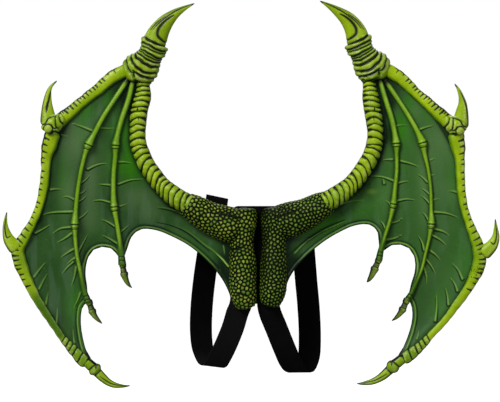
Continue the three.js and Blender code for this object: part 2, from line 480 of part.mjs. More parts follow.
function wingSolids(wing) {
  const shapes = {
    wrist: [WRIST, bandedWrist],
    thumb: [THUMB_CLAW, { width: THUMB_CLAW_WIDTH, steps: 10, front: 0.75, rear: 0.75 }],
    arm: [ARM, ringedArm],
    leadUpper: [LEAD_BONE_UPPER, { width: LEAD_BONE_WIDTH, steps: 10 }],
    leadLower: [LEAD_BONE_LOWER, { width: LEAD_BONE_WIDTH, steps: 22 }],
    elbow: [ELBOW, { width: ELBOW_WIDTH, steps: 6, front: 0.85 }],
    spurUpper: [SPUR_UPPER, { width: SPUR_WIDTH, steps: 7 }],
    spurLower: [SPUR_LOWER, { width: SPUR_WIDTH, steps: 7 }],
    tipKnuckle: [TIP_KNUCKLE, { width: TIP_KNUCKLE_WIDTH, steps: 6 }],
    tipClaw: [TIP_CLAW, { width: TIP_CLAW_WIDTH, steps: 8 }],
    finger2: [FINGER_2, fingerForm],
    finger3: [FINGER_3, fingerForm],
    claw2: [FINGER_2_CLAW, fingerClawForm],
    claw3: [FINGER_3_CLAW, fingerClawForm],
  };
  const whole = (key) => bone(wing, ...shapes[key]);
  const room = (key) => bone(wing, ...shapes[key], GAP);
  const baseRoom = scaledBase(wing, GAP);
  const finger = (key, claw) => fit(whole(key), room('wrist'), room(claw));
  const armRoom = bone(wing, ARM, smoothArm, 2 * GAP);
  const leadRooms = ['elbow', 'tipKnuckle', 'leadUpper', 'leadLower', 'tipClaw', 'spurLower'].map(room);
  const clawRooms = [room('claw2'), room('claw3')];
  return {
    wrist_cuff: whole('wrist'),
    thumb_claw: fit(whole('thumb'), room('wrist')),
    arm: fit(whole('arm'), room('wrist'), baseRoom),
    lead_bone_upper: fit(whole('leadUpper'), room('wrist'), room('elbow')),
    elbow_knuckle: whole('elbow'),
    spur_claw_upper: fit(whole('spurUpper'), room('elbow'), room('leadLower'), room('leadUpper')),
    lead_bone_lower: fit(whole('leadLower'), room('elbow'), room('tipKnuckle')),
    spur_claw_lower: fit(whole('spurLower'), room('leadLower')),
    tip_knuckle: whole('tipKnuckle'),
    lead_tip_claw: fit(whole('tipClaw'), room('tipKnuckle')),
    finger_2_bone: finger('finger2', 'claw2'),
    finger_3_bone: finger('finger3', 'claw3'),
    finger_2_claw: whole('claw2'),
    finger_3_claw: whole('claw3'),
    membrane: fit(webSheet(wing), room('wrist'), armRoom, baseRoom, ...leadRooms, ...clawRooms),
    scaled_base: scaledBase(wing),
    strap: strapLoop(wing),
  };
}

const FINISHES = {
  bone: { color: 0x8fae1c, roughness: 0.42, metalness: 0 },
  claw: { color: 0x9dbb2a, roughness: 0.35, metalness: 0 },
  finger: { color: 0x6f9a22, roughness: 0.42, metalness: 0 },
  web: { color: 0x28592a, roughness: 0.5, metalness: 0 },
  scales: { color: 0x7d9130, roughness: 0.45, metalness: 0 },
  elastic: { color: 0x0c0c0d, roughness: 0.9, metalness: 0 },
};

function finishOf(name) {
  if (name.includes('claw')) return FINISHES.claw;
  if (name.startsWith('finger')) return FINISHES.finger;
  if (name === 'membrane') return FINISHES.web;
  if (name === 'scaled_base') return FINISHES.scales;
  if (name === 'strap' || name === 'back_panel') return FINISHES.elastic;
  return FINISHES.bone;
}

function addPiece(group, solid, name, kind) {
  const mesh = new THREE.Mesh(toGeometry(solid), new THREE.MeshStandardMaterial(finishOf(kind)));
  mesh.name = name;
  group.add(mesh);
}

const dragonWings = new THREE.Group();
for (const wing of [LEFT, RIGHT]) {
  const half = new THREE.Group();
  for (const [kind, solid] of Object.entries(wingSolids(wing))) {
    addPiece(half, solid, `${kind}_${wing.name}`, kind);
  }
  dragonWings.add(half);
}
addPiece(dragonWings, backPanel(), 'back_panel', 'back_panel');

export default dragonWings;
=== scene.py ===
"""Costume dragon wings: two painted latex wings, scaled bases, a black back panel and elastic shoulder loops.

Sizes are in millimetres and turn into metres where a mesh or a light is made. Rows of tables hold shares.
"""

import math

import bpy
import numpy as np
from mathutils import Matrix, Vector
from mathutils.kdtree import KDTree


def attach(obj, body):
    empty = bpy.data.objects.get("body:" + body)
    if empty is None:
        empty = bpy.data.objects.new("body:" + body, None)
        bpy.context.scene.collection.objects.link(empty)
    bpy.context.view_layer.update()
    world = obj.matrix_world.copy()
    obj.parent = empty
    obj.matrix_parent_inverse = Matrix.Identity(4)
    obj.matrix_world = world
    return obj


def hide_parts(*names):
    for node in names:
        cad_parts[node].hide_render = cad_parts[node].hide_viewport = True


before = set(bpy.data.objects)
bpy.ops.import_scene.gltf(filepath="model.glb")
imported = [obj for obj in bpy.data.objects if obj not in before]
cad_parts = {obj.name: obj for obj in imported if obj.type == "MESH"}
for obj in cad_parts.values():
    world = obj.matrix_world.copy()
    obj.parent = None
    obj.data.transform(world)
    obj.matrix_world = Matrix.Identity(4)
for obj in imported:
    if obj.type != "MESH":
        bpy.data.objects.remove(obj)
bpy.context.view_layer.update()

# Overall sizes
MM = 0.001
WING_REACH = 500
WING_RISE = 500
WING_CUP = 100
GAP = 0.3

# Widths of the bones and claws where their wide column says 1
THUMB_CLAW_WIDTH = 46
ARM_WIDTH = 32
LEAD_BONE_WIDTH = 24
ELBOW_WIDTH = 36
SPUR_WIDTH = 34
TIP_KNUCKLE_WIDTH = 24
TIP_CLAW_WIDTH = 20
FINGER_WIDTH = 10
FINGER_CLAW_WIDTH = 14
SHOULDER_WIDTH = 64
BASE_WIDTH = 56

# Web between the bones
WEB_THICKNESS = 3
WEB_SAG = 0.07
HEM_PULL = 3
FINGER_REAR = 1

# Back panel and straps
PANEL_WIDTH = 104
PANEL_HEIGHT = 196
PANEL_THICKNESS = 3.5
PANEL_CORNER = 12
PANEL_EDGE = 0.4
PANEL_BEVEL = 3
PANEL_BINDING = 8
PANEL_SEAM_WIDTH = 1.5
PANEL_SEAM_DEPTH = 0.25
STRAP_WIDTH = 45
STRAP_THICKNESS = 1.8
STRAP_EDGE = 0.35
STRAP_BEVEL = 0.05
STRAP_REACH = 115
STRAP_LAYER = -(PANEL_THICKNESS + GAP + STRAP_THICKNESS / 2)
BASE_BACK = STRAP_LAYER - STRAP_THICKNESS / 2 - GAP

# How finely the surfaces are divided
BONE_STEP = 1.3
BONE_COLUMNS = 2.1
FINGER_COLUMNS = 1.5
FEWEST_ROWS = 12
FEWEST_COLUMNS = 18
FRONT_COLUMNS = 0.66
BASE_STEP = 1.4
BASE_SOFTENING = 12
WEB_ROWS = 301
WEB_COLUMNS = (56, 40, 92)
WEB_BACK_STEP = 4
RAIL_POINTS = 60
HEM_POINTS = 70
STRAP_STEP = 4
STRAP_COLUMNS = 24
PANEL_STEP = 4
ROUTE_STEPS = 3000

# Heights and depths of the relief
ARM_LOBE = 1.7
ARM_NECK = 2.6
ARM_RING_SLOPE = 3.2
ARM_RING_DEPTH = 1.8
WRIST_PILLOW = 2.2
WRIST_PILLOW_SLOPE = 4
WRIST_RIPPLE = 0.6
ELBOW_PILLOW = 1.5
ELBOW_PILLOW_SLOPE = 3.5
ELBOW_SINK = 5
ELBOW_BALL_HEIGHT = 2.4
ELBOW_BALL_RING = 1.6
NOTCH_DEPTH = 1.2
UPPER_RIPPLE = 0.6
LOWER_RIPPLE = 0.5
TIP_LOBE = 0.8
TIP_LOBE_SLOPE = 3
TIP_BULGE = 1.4
FINGER_KNOB = 1.3
FINGER_THINNER = {"left": 0, "right": 0.9}
CLAW_FLARE = 1.3
CLAW_WAIST = 1.2
BONE_HOLLOW = 0.8
BONE_HOLLOW_REACH = 5
HEM_ROLL = 1.1
HEM_GROOVE = 0.7
HEM_INSET = (6.4, 3.6, 3.4)
SCALE_SPACING = {"left": 7.7, "right": 7.3}
SCALE_HEIGHT = 1.7
SCALE_SINK = 0.6
SCALE_ROUNDING = 0.62
SCALE_PACKING = 0.82
SCALE_EVENING_ROUNDS = 2

# Strengths and reaches of the paint, painted shade and painted highlights among them, those of grooves and
# veins as shares of their width
FACING = (-0.75, -0.1)
HOLLOW_FILL = 0.7
GROOVE_REACH = 6
GROOVE_END = 0.35
GROOVE_SHADE = 0.45
GROOVE_SHADE_WIDTH = 2.5
VEIN_REACH = 8
VEIN_END = 0.2
VEIN_RIDGE = 1.1
VEIN_SHADE_PLACE = 2.1
VEIN_SHADE_WIDTH = 1.2
VEIN_UPPER_SHADE = 0.25
HEM_LIGHT = (0.75, 0.8, 0.4)
SCALE_GAP = (0.52, 0.24)
SCALE_GAP_WASH = 1.15
SCALE_TOP = (0.4, 0.8)
# Painted shade on the right base: a greener tint and weaker highlights on its scales
SCALE_SHADE_GREEN = {"left": 0, "right": 0.8}
# Painted light on the front leg of each loop, and the shares of the loop over which it fades out
STRAP_FRONT_LIGHT = {"left": 0.9, "right": 0.4}
STRAP_FRONT_LIGHT_END = (0.42, 0.34)
BONE_SHADE = (0.4, 0.42, 0.48, 0.8)
BONE_SHADE_REACH = (5, 5, 5, 7)
BONE_LINE = 0.75
BONE_LINE_WIDTH = 1.6
WRIST_SHADE = 0.95
WRIST_SHADE_REACH = 60
LEAD_DULLED = {"left": 1, "right": 0.1}
LEAD_SPECKLED = {"left": 0, "right": 1}
RIB_SPACING = 1.5
THREAD_SPACING = 1.1

# Camera, light and floor
CAMERA_PLACE = (-16, -12025, 108)
CAMERA_LENS = 432
CAMERA_SENSOR = 36
CAMERA_SIGHT = 200000
SKY_STRENGTH = 0.16
HORIZON = (0.045, 0.07)
SUN_STRENGTH = 2.6
SUN_SPREAD = 22
SUN_WAY = (0.45, 0.75, -0.6)
LIGHT_AIM = (0, 0, 100)
LIGHTS = {"fill": {"place": (3000, -3600, 1200), "size": 2400, "power": 30},
          "rim": {"place": (0, 2600, 2800), "size": 2000, "power": 30}}
FLOOR_GLOW = 0.5
FLOOR_HEIGHT = -330
FLOOR_REACH = 150000
FLOOR_CORNERS = 48
FLOOR_SHADES = ((244, 244, 244), (250, 250, 250))

# Screen colours of the painted latex: two cloudy greens, speckles, dry-brushed paint that is also painted
# highlights, the darker green of edges and painted shade, the dark paint in hollows that also holds painted
# shade, and how much it shines
LATEX_COLOURS = (
    {"slot": "bone_latex", "base": (144, 176, 6), "light": (166, 194, 12), "deep": (106, 138, 8),
     "pale": (192, 208, 112), "tint": (76, 124, 10), "wash_and_shade": (16, 22, 8), "shine": 0.2},
    {"slot": "claw_latex", "base": (138, 170, 6), "light": (160, 190, 12), "deep": (94, 124, 12),
     "pale": (188, 208, 96), "tint": (72, 100, 22), "wash_and_shade": (24, 28, 18), "shine": 0.2},
    {"slot": "finger_latex", "base": (108, 154, 20), "light": (132, 174, 26), "deep": (84, 126, 16),
     "pale": (158, 190, 78), "tint": (56, 100, 14), "wash_and_shade": (18, 30, 12), "shine": 0.2},
    {"slot": "scale_latex", "base": (114, 134, 18), "light": (132, 150, 28), "deep": (80, 98, 14),
     "pale": (172, 188, 84), "tint": (72, 112, 34), "wash_and_shade": (14, 20, 4), "shine": 0.05},
)
# Screen colours of the web: the sheen and pale ones are painted reflection, and the darkest is mostly painted
# shade
WEB_COLOURS = {"base": (42, 80, 32), "light": (54, 92, 42), "sheen": (70, 102, 68), "pale": (84, 114, 70),
               "bright": (50, 120, 6), "tint": (134, 182, 70), "wash_and_shade": (8, 30, 8), "fleck": (120, 170, 110)}
# Colours of the black elastic; the lightest one is painted light on the front leg of each loop
ELASTIC_COLOURS = {"base": (2, 2, 2), "ridge": (12, 12, 12), "front_light": (20, 20, 21)}


def table(columns, rows):
    """Rows of numbers as dictionaries with these column names."""
    return [dict(zip(columns.split(), row)) for row in rows]


# Columns of a place in the left wing and of the one in the right wing
PLACE = "out_left up_left out_right up_right "

# Each row is one section of a bone or claw: its places, how far forward it is and its width
THUMB_CLAW = table(PLACE + "fore wide", [
    (0.42, 0.836, 0.406, 0.84, 0.46, 0.98),
    (0.41, 0.858, 0.398, 0.864, 0.46, 1),
    (0.4, 0.882, 0.392, 0.886, 0.47, 0.94),
    (0.386, 0.906, 0.378, 0.914, 0.49, 0.82),
    (0.364, 0.934, 0.354, 0.944, 0.52, 0.66),
    (0.332, 0.962, 0.318, 0.972, 0.56, 0.43),
    (0.294, 0.985, 0.282, 0.995, 0.6, 0.22),
    (0.253, 1.004, 0.246, 1.014, 0.64, 0.04),
])
ARM = table(PLACE + "fore wide", [
    (0.456, 0.716, 0.444, 0.716, 0.44, 0.9),
    (0.458, 0.684, 0.444, 0.684, 0.44, 0.91),
    (0.458, 0.636, 0.448, 0.636, 0.44, 1),
    (0.472, 0.584, 0.456, 0.584, 0.43, 1),
    (0.478, 0.532, 0.464, 0.532, 0.42, 0.98),
    (0.48, 0.484, 0.468, 0.484, 0.41, 0.92),
    (0.478, 0.444, 0.464, 0.44, 0.4, 0.97),
    (0.462, 0.4, 0.45, 0.396, 0.38, 0.97),
    (0.442, 0.356, 0.428, 0.356, 0.36, 0.99),
    (0.418, 0.322, 0.404, 0.32, 0.34, 1),
    (0.388, 0.282, 0.374, 0.284, 0.32, 1.02),
    (0.356, 0.252, 0.342, 0.256, 0.3, 1.13),
    (0.318, 0.224, 0.304, 0.23, 0.28, 1.2),
    (0.284, 0.206, 0.272, 0.212, 0.27, 1.2),
    (0.244, 0.184, 0.236, 0.188, 0.25, 1.2),
])
LEAD_BONE_UPPER = table(PLACE + "fore wide", [
    (0.5, 0.746, 0.488, 0.75, 0.45, 1.1),
    (0.536, 0.734, 0.52, 0.736, 0.46, 1.1),
    (0.584, 0.708, 0.56, 0.712, 0.47, 1.08),
    (0.632, 0.668, 0.6, 0.678, 0.48, 0.98),
    (0.68, 0.63, 0.636, 0.642, 0.49, 0.9),
    (0.728, 0.59, 0.68, 0.604, 0.5, 0.97),
    (0.768, 0.556, 0.72, 0.566, 0.5, 1.1),
    (0.804, 0.528, 0.768, 0.524, 0.5, 1.2),
])
ELBOW = table(PLACE + "fore wide", [
    (0.78, 0.556, 0.744, 0.548, 0.5, 0.62),
    (0.804, 0.536, 0.768, 0.53, 0.52, 0.92),
    (0.828, 0.512, 0.796, 0.508, 0.52, 1),
    (0.846, 0.49, 0.812, 0.486, 0.5, 0.7),
])
SPUR_UPPER = table(PLACE + "fore wide", [
    (0.836, 0.536, 0.808, 0.524, 0.5, 0.97),
    (0.84, 0.576, 0.814, 0.572, 0.52, 0.74),
    (0.84, 0.616, 0.816, 0.604, 0.54, 0.5),
    (0.834, 0.652, 0.81, 0.634, 0.56, 0.31),
    (0.824, 0.674, 0.8, 0.66, 0.57, 0.19),
    (0.802, 0.696, 0.784, 0.684, 0.58, 0.05),
])
LEAD_BONE_LOWER = table(PLACE + "fore wide", [
    (0.816, 0.496, 0.788, 0.492, 0.5, 1.4),
    (0.834, 0.436, 0.798, 0.436, 0.49, 1.25),
    (0.846, 0.38, 0.806, 0.38, 0.47, 0.86),
    (0.85, 0.32, 0.808, 0.32, 0.45, 0.76),
    (0.858, 0.26, 0.812, 0.26, 0.42, 0.75),
    (0.874, 0.196, 0.822, 0.196, 0.39, 0.66),
    (0.9, 0.132, 0.842, 0.132, 0.36, 0.7),
    (0.932, 0.076, 0.866, 0.072, 0.33, 0.9),
    (0.96, 0.02, 0.886, 0.008, 0.3, 1.12),
    (0.95, -0.032, 0.882, -0.044, 0.27, 1.13),
    (0.928, -0.088, 0.86, -0.096, 0.24, 0.92),
    (0.896, -0.156, 0.828, -0.152, 0.2, 0.77),
    (0.856, -0.224, 0.788, -0.208, 0.16, 0.67),
    (0.814, -0.288, 0.752, -0.258, 0.12, 0.58),
    (0.782, -0.334, 0.694, -0.32, 0.09, 0.56),
    (0.75, -0.37, 0.648, -0.368, 0.07, 0.75),
    (0.716, -0.408, 0.614, -0.396, 0.05, 0.92),
    (0.684, -0.44, 0.578, -0.424, 0.04, 1),
])
SPUR_LOWER = table(PLACE + "fore wide", [
    (0.972, 0.032, 0.908, 0.012, 0.3, 0.86),
    (0.994, 0.06, 0.936, 0.04, 0.31, 0.7),
    (1.006, 0.092, 0.95, 0.072, 0.32, 0.46),
    (1.01, 0.124, 0.951, 0.102, 0.33, 0.27),
    (1.008, 0.148, 0.95, 0.122, 0.34, 0.16),
    (1.004, 0.172, 0.948, 0.144, 0.35, 0.05),
])
TIP_KNUCKLE = table(PLACE + "fore wide", [
    (0.682, -0.432, 0.576, -0.418, 0.04, 0.86),
    (0.666, -0.447, 0.556, -0.434, 0.04, 0.9),
    (0.654, -0.458, 0.542, -0.446, 0.04, 1.05),
    (0.64, -0.472, 0.524, -0.464, 0.03, 0.7),
])
TIP_CLAW = table(PLACE + "fore wide", [
    (0.652, -0.462, 0.534, -0.454, 0.03, 1),
    (0.622, -0.492, 0.504, -0.482, 0.03, 0.88),
    (0.6, -0.51, 0.48, -0.498, 0.02, 0.73),
    (0.576, -0.521, 0.454, -0.509, 0.02, 0.6),
    (0.554, -0.525, 0.43, -0.514, 0.01, 0.42),
    (0.532, -0.526, 0.412, -0.516, 0, 0.26),
    (0.512, -0.524, 0.396, -0.516, 0, 0.08),
])
FINGER_2 = table(PLACE + "fore wide", [
    (0.516, 0.708, 0.506, 0.7, 0.44, 0.9),
    (0.574, 0.62, 0.56, 0.62, 0.46, 1),
    (0.62, 0.548, 0.606, 0.548, 0.47, 1),
    (0.656, 0.48, 0.637, 0.492, 0.46, 1.1),
    (0.676, 0.442, 0.656, 0.45, 0.45, 1.7),
    (0.69, 0.404, 0.665, 0.404, 0.44, 0.95),
    (0.706, 0.34, 0.68, 0.34, 0.42, 0.85),
    (0.72, 0.26, 0.69, 0.26, 0.39, 0.85),
    (0.728, 0.18, 0.692, 0.18, 0.35, 0.95),
    (0.732, 0.132, 0.693, 0.132, 0.33, 1.5),
    (0.731, 0.076, 0.685, 0.072, 0.3, 0.9),
    (0.724, 0, 0.669, 0, 0.25, 0.8),
    (0.712, -0.06, 0.654, -0.06, 0.21, 0.8),
    (0.696, -0.14, 0.62, -0.14, 0.16, 0.95),
    (0.68, -0.188, 0.598, -0.18, 0.13, 1.35),
])
FINGER_2_CLAW = table(PLACE + "fore wide", [
    (0.676, -0.188, 0.595, -0.182, 0.13, 1),
    (0.667, -0.216, 0.584, -0.208, 0.12, 1),
    (0.655, -0.242, 0.57, -0.232, 0.12, 0.78),
    (0.64, -0.26, 0.554, -0.25, 0.11, 0.52),
    (0.624, -0.275, 0.536, -0.264, 0.1, 0.12),
])
FINGER_3 = table(PLACE + "fore wide", [
    (0.498, 0.704, 0.484, 0.708, 0.44, 0.85),
    (0.518, 0.62, 0.51, 0.62, 0.44, 1.05),
    (0.544, 0.544, 0.534, 0.544, 0.43, 1.1),
    (0.56, 0.484, 0.546, 0.488, 0.42, 1.1),
    (0.568, 0.444, 0.552, 0.45, 0.41, 1.5),
    (0.57, 0.396, 0.554, 0.396, 0.39, 1),
    (0.576, 0.332, 0.554, 0.332, 0.37, 1),
    (0.578, 0.252, 0.547, 0.26, 0.33, 1.05),
    (0.575, 0.194, 0.541, 0.202, 0.3, 1.35),
    (0.565, 0.132, 0.528, 0.14, 0.27, 0.95),
    (0.554, 0.06, 0.508, 0.076, 0.23, 0.95),
    (0.547, 0, 0.492, 0.02, 0.19, 1.25),
    (0.543, -0.04, 0.484, -0.02, 0.17, 1.5),
])
FINGER_3_CLAW = table(PLACE + "fore wide", [
    (0.542, -0.036, 0.484, -0.018, 0.17, 1),
    (0.537, -0.07, 0.467, -0.056, 0.16, 1),
    (0.528, -0.1, 0.454, -0.084, 0.15, 0.78),
    (0.518, -0.118, 0.444, -0.1, 0.14, 0.52),
    (0.505, -0.132, 0.436, -0.11, 0.13, 0.12),
])
SHOULDER = table(PLACE + "fore wide", [
    (0.306, 0.218, 0.3, 0.224, 0.23, 0.6),
    (0.262, 0.19, 0.252, 0.198, 0.22, 0.84),
    (0.192, 0.148, 0.188, 0.162, 0.17, 1),
    (0.128, 0.124, 0.128, 0.14, 0.15, 1.12),
    (0.068, 0.112, 0.068, 0.124, 0.14, 1.1),
])
BASE = table(PLACE + "fore wide", [
    (0.058, 0.188, 0.064, 0.192, 0.14, 0.8),
    (0.057, 0.148, 0.066, 0.144, 0.14, 0.96),
    (0.066, 0.06, 0.066, 0.055, 0.14, 0.84),
    (0.065, 0.01, 0.064, 0.005, 0.14, 0.88),
    (0.06, -0.04, 0.062, -0.048, 0.14, 0.95),
    (0.06, -0.142, 0.061, -0.132, 0.14, 0.95),
    (0.052, -0.184, 0.054, -0.172, 0.13, 0.84),
    (0.046, -0.216, 0.046, -0.206, 0.12, 0.6),
])
# Where the web's inner edge runs inside the scaled base
BASE_EDGE = table(PLACE + "fore", [
    (0.232, 0.156, 0.224, 0.168, 0.25),
    (0.172, 0.104, 0.164, 0.12, 0.24),
    (0.112, 0.036, 0.108, 0.052, 0.22),
    (0.1, -0.06, 0.1, -0.052, 0.2),
    (0.1, -0.132, 0.102, -0.108, 0.18),
    (0.108, -0.176, 0.11, -0.14, 0.17),
])

# The web's lower edges, from bone to bone
OUTER_HEM = LEAD_BONE_LOWER[-1:] + table(PLACE, [
    (0.668, -0.425, 0.56, -0.413),
    (0.69, -0.38, 0.585, -0.366),
    (0.706, -0.31, 0.61, -0.296),
    (0.71, -0.252, 0.619, -0.24),
    (0.702, -0.208, 0.612, -0.196),
]) + FINGER_2[-1:]
MIDDLE_HEM = FINGER_2[-1:] + table(PLACE, [
    (0.686, -0.128, 0.614, -0.12),
    (0.693, -0.076, 0.63, -0.068),
    (0.686, -0.024, 0.63, -0.02),
    (0.664, 0.016, 0.612, 0.02),
    (0.628, 0.032, 0.576, 0.04),
    (0.584, 0.024, 0.532, 0.038),
    (0.56, -0.004, 0.504, 0.018),
    (0.542, -0.032, 0.486, -0.014),
])
INNER_HEM = MIDDLE_HEM[-1:] + table(PLACE, [
    (0.526, 0.024, 0.486, 0.04),
    (0.508, 0.072, 0.481, 0.092),
    (0.472, 0.102, 0.448, 0.121),
    (0.412, 0.1, 0.388, 0.118),
    (0.344, 0.074, 0.32, 0.088),
    (0.272, 0.034, 0.256, 0.048),
    (0.204, -0.024, 0.188, -0.01),
    (0.152, -0.084, 0.144, -0.062),
    (0.122, -0.136, 0.12, -0.104),
]) + BASE_EDGE[-1:]

# The shoulder loops, section by section: how far back they stand and how they tilt, in degrees
STRAP = table(PLACE + "back tilt_left tilt_right", [
    (0.064, -0.116, 0.042, -0.112, 0, 8, 8),
    (0.07, -0.2, 0.04, -0.19, 0, 12, 14),
    (0.082, -0.23, 0.048, -0.23, 0.04, 16, 20),
    (0.1, -0.29, 0.072, -0.29, 0.16, 19, 22),
    (0.128, -0.36, 0.104, -0.37, 0.33, 23, 21),
    (0.154, -0.414, 0.132, -0.434, 0.53, 20, 16),
    (0.176, -0.449, 0.16, -0.473, 0.73, 8, 1),
    (0.196, -0.445, 0.184, -0.469, 0.89, 6, 0),
    (0.221, -0.392, 0.205, -0.42, 1, 7, 1),
    (0.23, -0.32, 0.21, -0.335, 1, 6, 3),
    (0.228, -0.22, 0.205, -0.22, 0.9, 5, 4),
    (0.216, -0.1, 0.194, -0.1, 0.7, 6, 4),
    (0.198, 0.02, 0.184, 0.02, 0.46, 8, 4),
    (0.18, 0.132, 0.176, 0.12, 0.24, 10, 4),
    (0.167, 0.206, 0.17, 0.186, 0.1, 12, 4),
    (0.163, 0.234, 0.168, 0.208, 0.05, 12, 4),
    (0.165, 0.218, 0.169, 0.194, 0, 12, 4),
    (0.173, 0.164, 0.172, 0.132, 0, 12, 4),
])

# The wrist cuff's outer and inner edge, section by section, and its grooves, all as places in the left wing
WRIST_SECTIONS = table("out_outer up_outer out_inner up_inner", [
    (0.452, 0.884, 0.366, 0.834),
    (0.466, 0.858, 0.362, 0.82),
    (0.468, 0.832, 0.37, 0.8),
    (0.48, 0.816, 0.384, 0.778),
    (0.5, 0.804, 0.394, 0.752),
    (0.522, 0.79, 0.402, 0.724),
    (0.536, 0.768, 0.41, 0.706),
    (0.532, 0.734, 0.42, 0.694),
    (0.516, 0.696, 0.432, 0.68),
])
WRIST_GROOVES = table("wide deep places", [
    (3.4, 2.8, ((0.462, 0.884), (0.436, 0.857), (0.403, 0.843), (0.36, 0.83))),
    (2.3, 2, ((0.472, 0.856), (0.432, 0.834), (0.396, 0.816), (0.36, 0.81))),
    (1.3, 1.2, ((0.472, 0.842), (0.44, 0.824), (0.4, 0.807), (0.364, 0.801))),
    (2.4, 2.1, ((0.47, 0.824), (0.432, 0.802), (0.403, 0.787), (0.372, 0.784))),
    (1.6, 1.4, ((0.48, 0.822), (0.44, 0.794), (0.41, 0.779), (0.376, 0.775))),
    (2.2, 2, ((0.49, 0.814), (0.446, 0.784), (0.418, 0.769), (0.384, 0.766))),
    (3.6, 2.8, ((0.496, 0.812), (0.486, 0.791), (0.468, 0.775), (0.448, 0.762), (0.424, 0.751), (0.4, 0.75))),
    (3, 2.6, ((0.508, 0.796), (0.5, 0.768), (0.484, 0.752), (0.46, 0.731), (0.432, 0.725), (0.406, 0.727))),
    (1.4, 1.4, ((0.53, 0.79), (0.523, 0.765), (0.517, 0.742), (0.506, 0.729), (0.494, 0.728))),
    (2.7, 2.4, ((0.497, 0.735), (0.482, 0.722), (0.468, 0.714), (0.44, 0.706), (0.406, 0.704))),
    (1.5, 1.5, ((0.494, 0.73), (0.496, 0.72), (0.495, 0.708))),
    (1, 0.8, ((0.492, 0.7), (0.472, 0.692), (0.448, 0.688), (0.422, 0.69))),
])
WRIST_SHIFT = {"left": (0, 0), "right": (-0.013, 0.008)}

# Grooves between the elbow's bumps, as places in the left wing
ELBOW_GROOVES = table("wide deep places", [
    (1.4, 1.6, ((0.88, 0.52), (0.852, 0.527), (0.84, 0.548), (0.828, 0.554), (0.806, 0.562))),
    (1.2, 1.4, ((0.812, 0.566), (0.81, 0.529), (0.806, 0.512), (0.8, 0.508))),
    (1.4, 1.5, ((0.798, 0.562), (0.79, 0.536), (0.779, 0.523), (0.781, 0.507), (0.792, 0.49))),
    (1.6, 1.7, ((0.87, 0.498), (0.848, 0.486), (0.832, 0.485), (0.815, 0.496), (0.8, 0.491), (0.776, 0.478))),
    (1.1, 1.2, ((0.828, 0.522), (0.816, 0.508), (0.802, 0.51))),
])
ELBOW_BALL = {"out": 0.839, "up": 0.507, "size": 8.4}
ELBOW_SHIFT = {"left": (-0.003, -0.003), "right": (-0.033, -0.012)}

# Grooves across the arm: their shares of its length at its outer edge, its middle and its inner edge
ARM_GROOVES = table("outer middle inner wide", [
    (0.04, 0.036, 0.036, 1.8), (0.072, 0.064, 0.072, 1.2), (0.103, 0.095, 0.098, 1.1),
    (0.145, 0.124, 0.122, 1.3), (0.182, 0.154, 0.158, 1.4), (0.212, 0.196, 0.183, 1.3),
    (0.242, 0.224, 0.224, 1.7), (0.298, 0.263, 0.281, 1.8), (0.328, 0.307, 0.32, 1.1),
    (0.372, 0.345, 0.347, 1.7), (0.412, 0.393, 0.396, 1.6), (0.442, 0.436, 0.456, 1.1),
    (0.474, 0.461, 0.469, 1.4), (0.52, 0.5, 0.508, 1.1), (0.59, 0.545, 0.54, 2), (0.635, 0.595, 0.597, 1.3),
    (0.685, 0.64, 0.636, 1.3), (0.73, 0.686, 0.678, 2), (0.762, 0.716, 0.722, 1.1),
    (0.792, 0.75, 0.754, 1.2), (0.835, 0.792, 0.79, 1.2), (0.872, 0.832, 0.838, 1.3),
    (0.91, 0.88, 0.88, 1.3), (0.945, 0.913, 0.917, 1.1), (0.975, 0.945, 0.95, 1.2),
    (0.995, 0.972, 0.975, 1.1),
])
# Short cuts that split a ring of the arm
ARM_CUTS = table("wide deep places", [
    (1.3, 1.4, ((0.205, 0.3), (0.216, 0.26), (0.228, 0.24))),
    (0.8, 0.7, ((0.262, 0.02), (0.272, 0), (0.284, 0))),
])

# Cuts into the outer edge of the lead bones: their share of its length and how far in they reach
UPPER_NOTCHES = table("at reach wide", [
    (0.19, 0.1, 0.7), (0.26, 0.5, 0.7), (0.33, 0.05, 1.1), (0.372, 0.15, 1.1), (0.432, 0.05, 1.2),
    (0.469, 0, 1.2), (0.514, 0.05, 1), (0.562, -0.1, 1.1), (0.61, -0.1, 1.2), (0.645, 0.4, 0.8),
    (0.679, -0.15, 0.9), (0.728, -0.2, 1.3), (0.777, -0.2, 1.4), (0.812, 0.3, 1), (0.849, -0.15, 1.7),
    (0.88, 0.35, 1), (0.912, 0, 1.4),
])
LOWER_NOTCHES = table("at reach wide", [
    (0.034, 0.05, 1.7), (0.057, 0.15, 1.4), (0.083, -0.1, 1.3), (0.107, 0.15, 0.9), (0.124, 0.15, 1.1),
    (0.156, 0, 1.2), (0.181, 0.15, 1.2), (0.205, 0.2, 1.1), (0.228, 0.1, 1.2), (0.251, 0.3, 1),
    (0.279, -0.2, 1.2), (0.298, 0.1, 1.1), (0.321, 0.2, 1.1), (0.342, 0.05, 1.1), (0.367, -0.5, 1),
    (0.392, -0.45, 1.1), (0.419, -0.55, 1.1), (0.442, -0.45, 1.2), (0.458, -0.35, 1.2), (0.476, -0.25, 1.3),
    (0.497, -0.2, 1.3), (0.513, -0.1, 1.2), (0.533, -0.15, 0.9), (0.548, 0, 1.3), (0.571, 0, 1.2),
    (0.592, 0.2, 1.1), (0.621, -0.3, 1.3),
])

